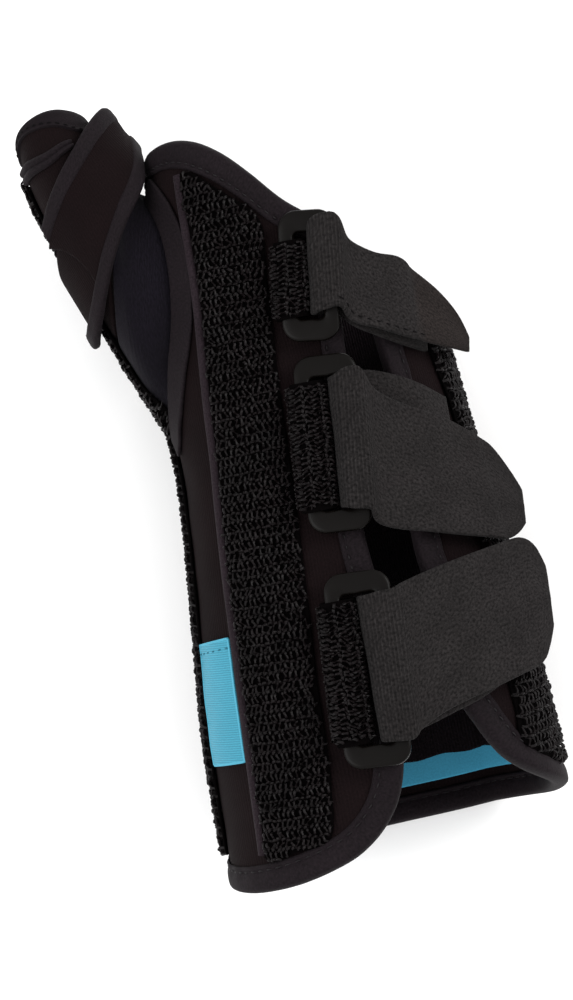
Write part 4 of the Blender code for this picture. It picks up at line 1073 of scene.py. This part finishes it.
class BRACE_OT_trims(bpy.types.Operator):
    """Raised ridge beside the front strip, the side label and the tape before the thumb"""

    bl_idname = "brace.trims"
    bl_label = "Ridge, label and thumb tape"

    def execute(self, context):
        ridge = even_line(smooth_line(np.array(PIPING) * MM, 12), 0.0014)
        sides = line_sides(ridge)
        section = np.array([(math.cos(a), math.sin(a)) for a in np.arange(12) * math.tau / 12])

        def place(i, j):
            across, up = section[j].T
            flat = ridge[i] + sides[i] * (across * 0.0012)[:, None]
            return BODY_ACROSS.place(flat[:, 0], flat[:, 1], 0.00085 + up * 0.0007)

        rolled("strip_ridge", ridge, section, place, ridge_finish(), (0.18, 0.006), closed=False,
               replaces=["strip_edge_piping"])

        corners = np.array(SIDE_LABEL) * MM
        label = even_line(corners, 0.0010, True)
        lift = FIT_GAP + 0.0007

        def wave(x, y):
            return unevenness(x, y, 0.00012, 0.014) + 0.0001

        cloth("blank_label", label, FIT_GAP, lift, BODY_ACROSS, label_finish(), cell=(0.0012, 0.0012),
              edge=0.0004, replaces=["side_label"], relief=wave)
        middle = corners.mean(axis=0)
        for name, inwards, wide in (("label_border", 0.00035, 0.00032),):
            border = even_line(inset(label, inwards), 0.0009, True)
            course = np.array([(math.cos(a) * wide, math.sin(a) * 0.00012) for a in np.arange(6) * math.tau / 6])
            away = line_sides(border, True)

            def ring(i, j):
                across, up = course[j].T
                flat = border[i] + away[i] * across[:, None]
                return BODY_ACROSS.place(flat[:, 0], flat[:, 1], lift + wave(flat[:, 0], flat[:, 1]) + up)

            rolled(name, border, course, ring, label_edge_finish(), (0.09, 0.002))
        top = np.stack([corners[0] * 0.93 + corners[1] * 0.07, corners[1] * 0.93 + corners[0] * 0.07])
        top = top + (middle - top.mean(axis=0)) * 0.17
        stitches("label_stitches", top, BODY_ACROSS, lift + 0.00012, finish=label_thread_finish())

        rows = []
        for share in np.linspace(0.09, 0.49, 25):
            here, ahead = read_table(OPENING, [share, share + 0.005], 1.0)
            course = (ahead - here) / np.linalg.norm(ahead - here)
            outwards = np.array([-course[1], course[0]])
            near = here + 1.3 * outwards
            pair = np.array([near, near + 6.9 * outwards]) * MM
            rows.append(BODY_ACROSS.place(pair[:, 0], pair[:, 1], np.full(2, 0.0009)))
        tape = ribbon_surface(rows, 0.0069)
        length = tape.rows[-1]
        cloth("thumb_opening_tape", rectangle(0.0, length, 0.0, 0.0069, 0.0011), -0.00055, 0.00055, tape,
              tape_finish(), cell=(0.0016, 0.0012), edge=0.0005, replaces=["gusset_binding"],
              relief=lambda x, y: unevenness(x, y, 0.00012, 0.009))
        for name, across in (("thumb_tape_inner_stitches", 0.0016), ("thumb_tape_outer_stitches", 0.0050)):
            line = np.array([[0.002, across], [length - 0.002, across]])
            stitches(name, line, tape, 0.00058, finish=dark_thread_finish())
        return {"FINISHED"}


def rectangle(x_low, x_high, y_low, y_high, step):
    corners = np.array([(x_low, y_low), (x_high, y_low), (x_high, y_high), (x_low, y_high)], float)
    return even_line(corners, step, True) if step else corners


def ring_frame(name):
    """Centre and the across, along and out directions of a ring lying over the front panel."""
    x, y, width, length, turn = RINGS[name]
    x, y, width, length = x * MM, y * MM, width * MM, length * MM
    ends = [Vector((x, y + side * 0.42 * length, body_height(x, y + side * 0.42 * length))) for side in (-1, 1)]
    along = (ends[1] - ends[0]).normalized()
    turned = math.radians(turn)
    along = Vector((math.sin(turned), along.y * math.cos(turned), along.z)).normalized()
    across = Vector((math.cos(turned), -math.sin(turned), 0.0))
    across = (across + Vector((0, 0, RING_LEAN / width))).normalized()
    along = (along - across * along.dot(across)).normalized()
    out = across.cross(along)
    high = max(body_height(x, y + 0.1 * k * length) - ends[0].lerp(ends[1], (0.42 + 0.1 * k) / 0.84).z
               for k in range(-4, 5))
    centre = ends[0].lerp(ends[1], 0.5) + Vector((0, 0, high + RING_SEAT + RING_LEAN / 2))
    return centre, across, along, out, width, length


def bar_at(ring, side, y):
    """Place of a ring's long bar where it crosses y: side is 1 for the bar over the opening."""
    centre, across, along, _, width, _ = ring_frame(ring)
    middle = centre + across * side * (width / 2 - RING_BAR / 2)
    return middle + along * ((y - middle.y) / along.y)


class BRACE_OT_rings(bpy.types.Operator):
    """Moulded rectangular rings, their tabs and what holds them"""

    bl_idname = "brace.rings"
    bl_label = "Rings and tabs"

    def execute(self, context):
        for number in (1, 2, 3):
            self.ring(f"ring_{number}")
            self.tab(f"ring_tab_{number}", f"ring_{number}")
        return {"FINISHED"}

    def ring(self, name):
        centre, across, along, out, width, length = ring_frame(name)
        outer, inner = (width / 2, length / 2), (width / 2 - RING_BAR, length / 2 - RING_ARM)
        quarter = np.linspace(0, math.pi / 2, 9)
        edge, bore = [], []
        for turn, (sign_a, sign_b) in enumerate(((1, 1), (-1, 1), (-1, -1), (1, -1))):
            for angle in quarter + turn * math.pi / 2:
                for line, (a, b), radius in ((edge, outer, 0.0048), (bore, inner, 0.0014)):
                    line.append((sign_a * (a - radius) + radius * math.cos(angle),
                                 sign_b * (b - radius) + radius * math.sin(angle)))
        edge, bore = np.array(edge), np.array(bore)
        half = RING_THICKNESS / 2
        angles = np.arange(20) * math.tau / 20
        share = 0.5 - 0.5 * np.sign(np.cos(angles)) * np.abs(np.cos(angles)) ** 0.45
        rise = half * np.sign(np.sin(angles)) * np.abs(np.sin(angles)) ** 0.42
        axes = np.array([across, along, out])

        def place(i, j):
            flat = edge[i] * (1 - share[j])[:, None] + bore[i] * share[j][:, None]
            return np.array(centre) + np.column_stack([flat, rise[j]]) @ axes

        rolled(name + "_moulding", edge, angles, place, ring_finish(), (0.12, 0.016), replaces=[name],
               sharp=60.0)

    def tab(self, name, ring):
        high, low = TABS[name]
        rows = []
        for aside, above in TAB_LOOP:
            pair = []
            for y in (high * MM, low * MM):
                bar = bar_at(ring, -1, y)
                x = bar.x + aside * MM
                spot = Vector((x, y, body_height(x, y) + above * MM))
                if above > 3.1:
                    spot.z = bar.z + (above - RING_SEAT / MM) * MM
                pair.append(spot)
            rows.append(pair)
        width = (high - low) * MM
        surface = ribbon_surface(rows, width, outwards=-1.0, parts=8, closed=True)
        around, across = len(surface.rows) - 1, 16
        girth = surface.rows[-1]
        section = [(k / across, 0.0005) for k in range(across + 1)] + [(1 - k / across, -0.0005) for k in range(across + 1)]
        section = np.array(section)

        def place(i, j):
            share, off = section[j].T
            return surface.place(surface.rows[i], share * width, off)

        rolled(name + "_ground", surface.rows[:-1], section, place, painted_shade_backing_finish(), (girth, 2 * width),
               replaces=[name])
        outline = rectangle(0.30 * girth, 0.985 * girth, 0.0006, width - 0.0006, 0.001)
        loop_pile(name + "_loops", outline, surface, 0.0006, heading=math.pi / 2, spread=0.85)


class BRACE_OT_straps(bpy.types.Operator):
    """Three straps, each round its ring and back over itself"""

    bl_idname = "brace.straps"
    bl_label = "Straps"

    def execute(self, context):
        for number in (1, 2, 3):
            self.strap(f"strap_{number}", f"ring_{number}")
        return {"FINISHED"}

    def strap(self, name, ring):
        rows, folded = [], []
        for origin, x_high, y_high, x_low, y_low, above in STRAPS[name]:
            pair = []
            for x, y in ((x_high * MM, y_high * MM), (x_low * MM, y_low * MM)):
                if origin == "bar":
                    bar = bar_at(ring, 1, y)
                    pair.append((bar.x + x, y, bar.z + above * MM))
                elif origin == "crown":
                    pair.append((x, y, crown(y) + above * MM))
                else:
                    pair.append((x, y, body_height(x, y) + above * MM))
            rows.append(pair)
            folded.append(1.0 if origin == "bar" else 0.0)
        width = STRAP_WIDTHS[name]
        surface = ribbon_surface(rows, width)
        length = surface.rows[-1]
        half = bpy.context.scene.brace_sizes.strap_thickness / 2
        step_at = np.interp(STRAP_STEPS[name], np.arange(len(rows)), surface.rows[::14])

        def layer_step(x, y):
            """The flap drops where the layer under it ends."""
            return -0.0003 - 0.0003 * np.tanh((x - step_at - 0.1 * y) / 0.0007)

        finish = strap_finish()
        if name == "strap_1":
            finish = strap_finish("sun_browned_strap_laminate", (surface.rows[12 * 14] + 0.0045, linear("#201c1b")))
        piece = cloth(name + "_cloth", rectangle(0.0, length, 0.0, width, 0.0012), -half, half, surface,
                      finish, cell=(0.0011, 0.0016), edge=0.0006, replaces=[name],
                      relief=lambda x, y: unevenness(x, y, 0.00014, 0.016) + layer_step(x, y))
        mark_folds(piece, surface, folded)
        if name == "strap_1":
            hem = np.array([[surface.rows[9 * 14], width - 0.0022], [surface.rows[13 * 14], width - 0.0018]])
            stitches("strap_1_hem_stitches", hem, surface, half + 0.00008,
                     finish=dark_thread_finish())


def mark_folds(piece, surface, folded):
    """Say where a strap is folded tightly, which is where its ribs open and where their painted shade and highlight
    show.
    """
    mesh = piece.data
    corners = np.empty(len(mesh.loops), np.int32)
    mesh.loops.foreach_get("vertex_index", corners)
    uv = np.empty(len(mesh.loops) * 2, np.float32)
    mesh.uv_layers["cloth"].data.foreach_get("uv", uv)
    along = np.zeros(len(mesh.vertices))
    along[corners] = uv.reshape(-1, 2)[:, 0]
    at_rows = surface.rows[np.arange(len(folded)) * 14]
    mask = np.interp(along, at_rows, np.array(folded))
    attribute = mesh.attributes.new("folded", "FLOAT", "POINT")
    attribute.data.foreach_set("value", mask.astype(np.float32))


def thumb_strap_rows():
    """Both edges of the thumb strap at each row of its table, with the way across it."""
    rows = []
    for degrees, along_high, off_high, along_low, off_low in THUMB_STRAP:
        top = on_thumb(along_high, degrees / 360, off_high * MM)
        foot = on_thumb(along_low, degrees / 360, off_low * MM)
        rows.append((degrees, top, foot, (foot - top) / np.linalg.norm(foot - top)))
    return rows


class BRACE_OT_thumb(bpy.types.Operator):
    """Knit gusset, thumb sleeve, the tape round its tip, its seam and its loop strip"""

    bl_idname = "brace.thumb"
    bl_label = "Thumb sleeve"

    def execute(self, context):
        half = SLEEVE_WALL / 2
        turns = np.arange(120) / 120
        tip = read_table(TIP_EDGE, turns, 1.0)[:, 0]
        self.tube("thumb_gusset_knit", 0.0, GUSSET_END, half, 46, knit_finish(), "thumb_gusset", "knit_cloth")
        self.tube("thumb_sleeve_cloth", GUSSET_END + 0.02, tip + 0.012, half, 60, panel_finish(), "thumb_sleeve",
                  "shell_cloth")
        self.tube("thumb_tip_tape", tip, 1.0, half + 0.0008, 14, tape_finish(), "thumb_sleeve_binding",
                  "binding_tape", rim=True)
        around = np.stack([turns * SLEEVE_GIRTH, (tip + 0.014) * SLEEVE_LENGTH], axis=1)
        stitches("thumb_tip_stitches", around, THUMB, half + 0.0008, finish=dark_thread_finish())
        off = half + 0.0009
        wide = 0.0034
        rows = [(on_thumb(along + 0.021, degrees / 360, off), on_thumb(along - 0.021, degrees / 360, off))
                for degrees, along in SEAM]
        surface = ribbon_surface(rows, wide)
        cloth("thumb_seam_cord", rectangle(0, surface.rows[-1], 0, wide, 0.0008), -0.0006, 0.0002, surface,
              tape_finish(), cell=(0.0011, 0.00042), edge=0.0005, replaces=["thumb_seam"],
              relief=lambda x, y: 0.0006 * np.abs(np.sin(math.tau * y / wide)))
        low, high = LOOP_STRIP_ALONG
        first, last = LOOP_STRIP_ROUND
        outline = rectangle(first / 360 * SLEEVE_GIRTH, last / 360 * SLEEVE_GIRTH, low * SLEEVE_LENGTH,
                            high * SLEEVE_LENGTH, 0.0012)
        off = half + 1.5 * FIT_GAP
        cloth("thumb_strip_ground", outline, off, off + LOOP_BACKING, THUMB, painted_shade_backing_finish(), edge=0.0003,
              replaces=["thumb_loop_strip"])
        loop_pile("thumb_strip_loops", outline, THUMB, off + LOOP_BACKING, spread=1.1)
        return {"FINISHED"}

    def tube(self, name, start, end, half, steps, finish, replaces, slot, rim=False):
        around = 120
        shares = np.linspace(0.0, 1.0, steps + 1)
        soft = np.full(steps + 1, half)
        if rim:
            soft = half * np.sqrt(1.0 - 0.9 * np.maximum(0.0, (shares - 0.7) / 0.3) ** 2)
            soft = soft * (1.0 - 0.12 * np.exp(-((shares - 0.25) / 0.12) ** 2))
        soft[0] = 0.6 * half
        soft[-1] = min(soft[-1], 0.6 * half)
        section = np.concatenate([np.column_stack([shares, soft]), np.column_stack([shares[::-1], -soft[::-1]])])
        turns = np.arange(around) / around
        starts, ends = np.broadcast_to(start, around), np.broadcast_to(end, around)

        def place(i, j):
            share, off = section[j].T
            x, y = turns[i] * SLEEVE_GIRTH, (starts[i] * (1 - share) + ends[i] * share) * SLEEVE_LENGTH
            return THUMB.place(x, y, off + np.sign(off) * unevenness(x, y, 0.00012, 0.013))

        rolled(name, turns, section, place, finish, (SLEEVE_GIRTH, 0.08),
               replaces=[replaces], sharp=60.0)


class BRACE_OT_thumb_strap(bpy.types.Operator):
    """Strap wrapped round the thumb, with tape on both its edges"""

    bl_idname = "brace.thumb_strap"
    bl_label = "Thumb strap"

    def execute(self, context):
        rows = thumb_strap_rows()
        edge, gap = THUMB_BINDING_WIDTH, 2 * FIT_GAP
        self.tape("thumb_strap_upper_tape", [(top, top + run * edge) for _, top, _, run in rows[:-2]],
                  "thumb_strap_binding_upper", 0.0042)
        self.tape("thumb_strap_lower_tape", [(foot - run * edge, foot) for _, _, foot, run in rows],
                  "thumb_strap_binding_lower", 0.0008)
        inner = [(top + run * (edge - 0.0006), foot - run * (edge - 0.0006)) for _, top, foot, run in rows]
        width = 0.020
        surface = ribbon_surface(inner, width)
        # The cloth ends in a hollow curve, later at the tip's side than at the wrist's
        place = np.interp([120.0, 124.0, 134.0, 150.0], [row[0] for row in rows], surface.rows[::14])
        end = smooth_line([(place[0], width), (place[1], 0.62 * width), (place[2], 0.3 * width), (place[3], 0.0)], 8)
        outline = np.concatenate([[(0.0, 0.0), (0.0, width)], end])[::-1]
        cloth("thumb_strap_cloth", even_line(outline, 0.0012, True), -0.0008, 0.0008, surface,
              panel_finish(), cell=(0.0014, 0.0014), edge=0.0007, replaces=["thumb_strap"],
              relief=lambda x, y: unevenness(x, y, 0.00018, 0.014))
        under = []
        for degrees, top, foot, run in rows:
            if degrees >= 95.0:
                inwards = np.cross(run, rows[-1][1] - rows[-3][1])
                inwards = inwards / np.linalg.norm(inwards)
                if inwards.dot(top - np.array([-0.045, 0.075, 0.032])) > 0:
                    inwards = -inwards
                drop = inwards * 0.0015
                under.append((top + run * (edge + gap) + drop, foot - run * (edge + gap) + drop))
        surface = ribbon_surface(under, width)
        cloth("thumb_strap_under_layer", rectangle(0, surface.rows[-1], 0, width, 0.0012), -0.0004, 0.0004, surface,
              panel_finish(), cell=(0.0014, 0.0014), edge=0.0004, replaces=["thumb_strap_tab"])
        return {"FINISHED"}

    def tape(self, name, rows, replaces, stitch_line):
        width = THUMB_BINDING_WIDTH
        surface = ribbon_surface(rows, width, outwards=1.0)
        length = surface.rows[-1]
        cloth(name, rectangle(0, length, 0, width, 0.0011), -0.0013, 0.0013, surface, tape_finish(),
              cell=(0.0012, 0.0008), edge=0.0013, replaces=[replaces],
              relief=lambda x, y: unevenness(x, y, 0.00014, 0.008))
        line = np.array([[0.002, stitch_line], [length - 0.002, stitch_line]])
        stitches(name + "_stitches", line, surface, 0.00128, finish=dark_thread_finish())


class BRACE_OT_stage(bpy.types.Operator):
    """Plain pale floor, soft studio light and the camera over the brace"""

    bl_idname = "brace.stage"
    bl_label = "Stage"

    def execute(self, context):
        scene = context.scene
        scene.view_settings.view_transform = "Standard"
        tool = bmesh.new()
        bmesh.ops.create_grid(tool, x_segments=1, y_segments=1, size=1.6)
        bmesh.ops.translate(tool, verts=tool.verts, vec=(0, 0, -0.0004))
        mesh = bpy.data.meshes.new("floor")
        tool.to_mesh(mesh)
        tool.free()
        mesh.materials.append(woven("pale_floor", colours().floor, 0.9, 3.0, 0.0, tone=0.0, speck=0.0))
        floor = bpy.data.objects.new("floor", mesh)
        scene.collection.objects.link(floor)

        world = bpy.data.worlds.new("studio")
        world.use_nodes = True
        world.node_tree.nodes["Background"].inputs["Color"].default_value = (1.0, 1.0, 1.0, 1.0)
        world.node_tree.nodes["Background"].inputs["Strength"].default_value = 1.0
        scene.world = world
        lights = [self.light("window", (0.75, 0.35, 0.75), 0.6, 7.5, (1.0, 0.99, 0.98)),
                  self.light("left", (-0.75, -0.05, 0.85), 0.8, 6.5, (1.0, 1.0, 1.0))]

        camera = bpy.data.cameras.new("camera")
        camera.sensor_width = 36.0
        camera.lens = 74.16
        item = bpy.data.objects.new("camera", camera)
        item.location = (-0.013, 0.0, scene.brace_sizes.camera_height)
        item.rotation_euler = (0.0, 0.0, math.radians(-11.0))
        scene.collection.objects.link(item)
        scene.camera = item
        return {"FINISHED"}

    def light(self, name, place, size, power, colour):
        data = bpy.data.lights.new(name, "AREA")
        data.size = size
        data.energy = power
        data.color = colour
        item = bpy.data.objects.new(name, data)
        item.location = place
        item.rotation_mode = "QUATERNION"
        item.rotation_quaternion = (-Vector(place)).to_track_quat("-Z", "Y")
        bpy.context.scene.collection.objects.link(item)
        return item


OPERATORS = (
    BRACE_OT_stage, BRACE_OT_body_panel, BRACE_OT_inside, BRACE_OT_edge_tape, BRACE_OT_loop_strips,
    BRACE_OT_trims, BRACE_OT_rings, BRACE_OT_straps, BRACE_OT_thumb, BRACE_OT_thumb_strap,
)


class BRACE_PT_panel(bpy.types.Panel):
    bl_label = "Thumb spica brace"
    bl_idname = "BRACE_PT_panel"
    bl_space_type = "VIEW_3D"
    bl_region_type = "UI"
    bl_category = "Brace"

    def draw(self, context):
        for operator in OPERATORS:
            self.layout.operator(operator.bl_idname)
        for group in (context.scene.brace_sizes, context.scene.brace_colours):
            for name in group.__annotations__:
                self.layout.prop(group, name)


CLASSES = (BraceSizes, BraceColours, *OPERATORS, BRACE_PT_panel)


def register():
    for item in CLASSES:
        bpy.utils.register_class(item)
    bpy.types.Scene.brace_sizes = bpy.props.PointerProperty(type=BraceSizes)
    bpy.types.Scene.brace_colours = bpy.props.PointerProperty(type=BraceColours)


def unregister():
    del bpy.types.Scene.brace_sizes
    del bpy.types.Scene.brace_colours
    for item in reversed(CLASSES):
        bpy.utils.unregister_class(item)


def main():
    register()
    for operator in OPERATORS:
        group, action = operator.bl_idname.split(".")
        getattr(getattr(bpy.ops, group), action)()


if __name__ == "__main__":
    main()
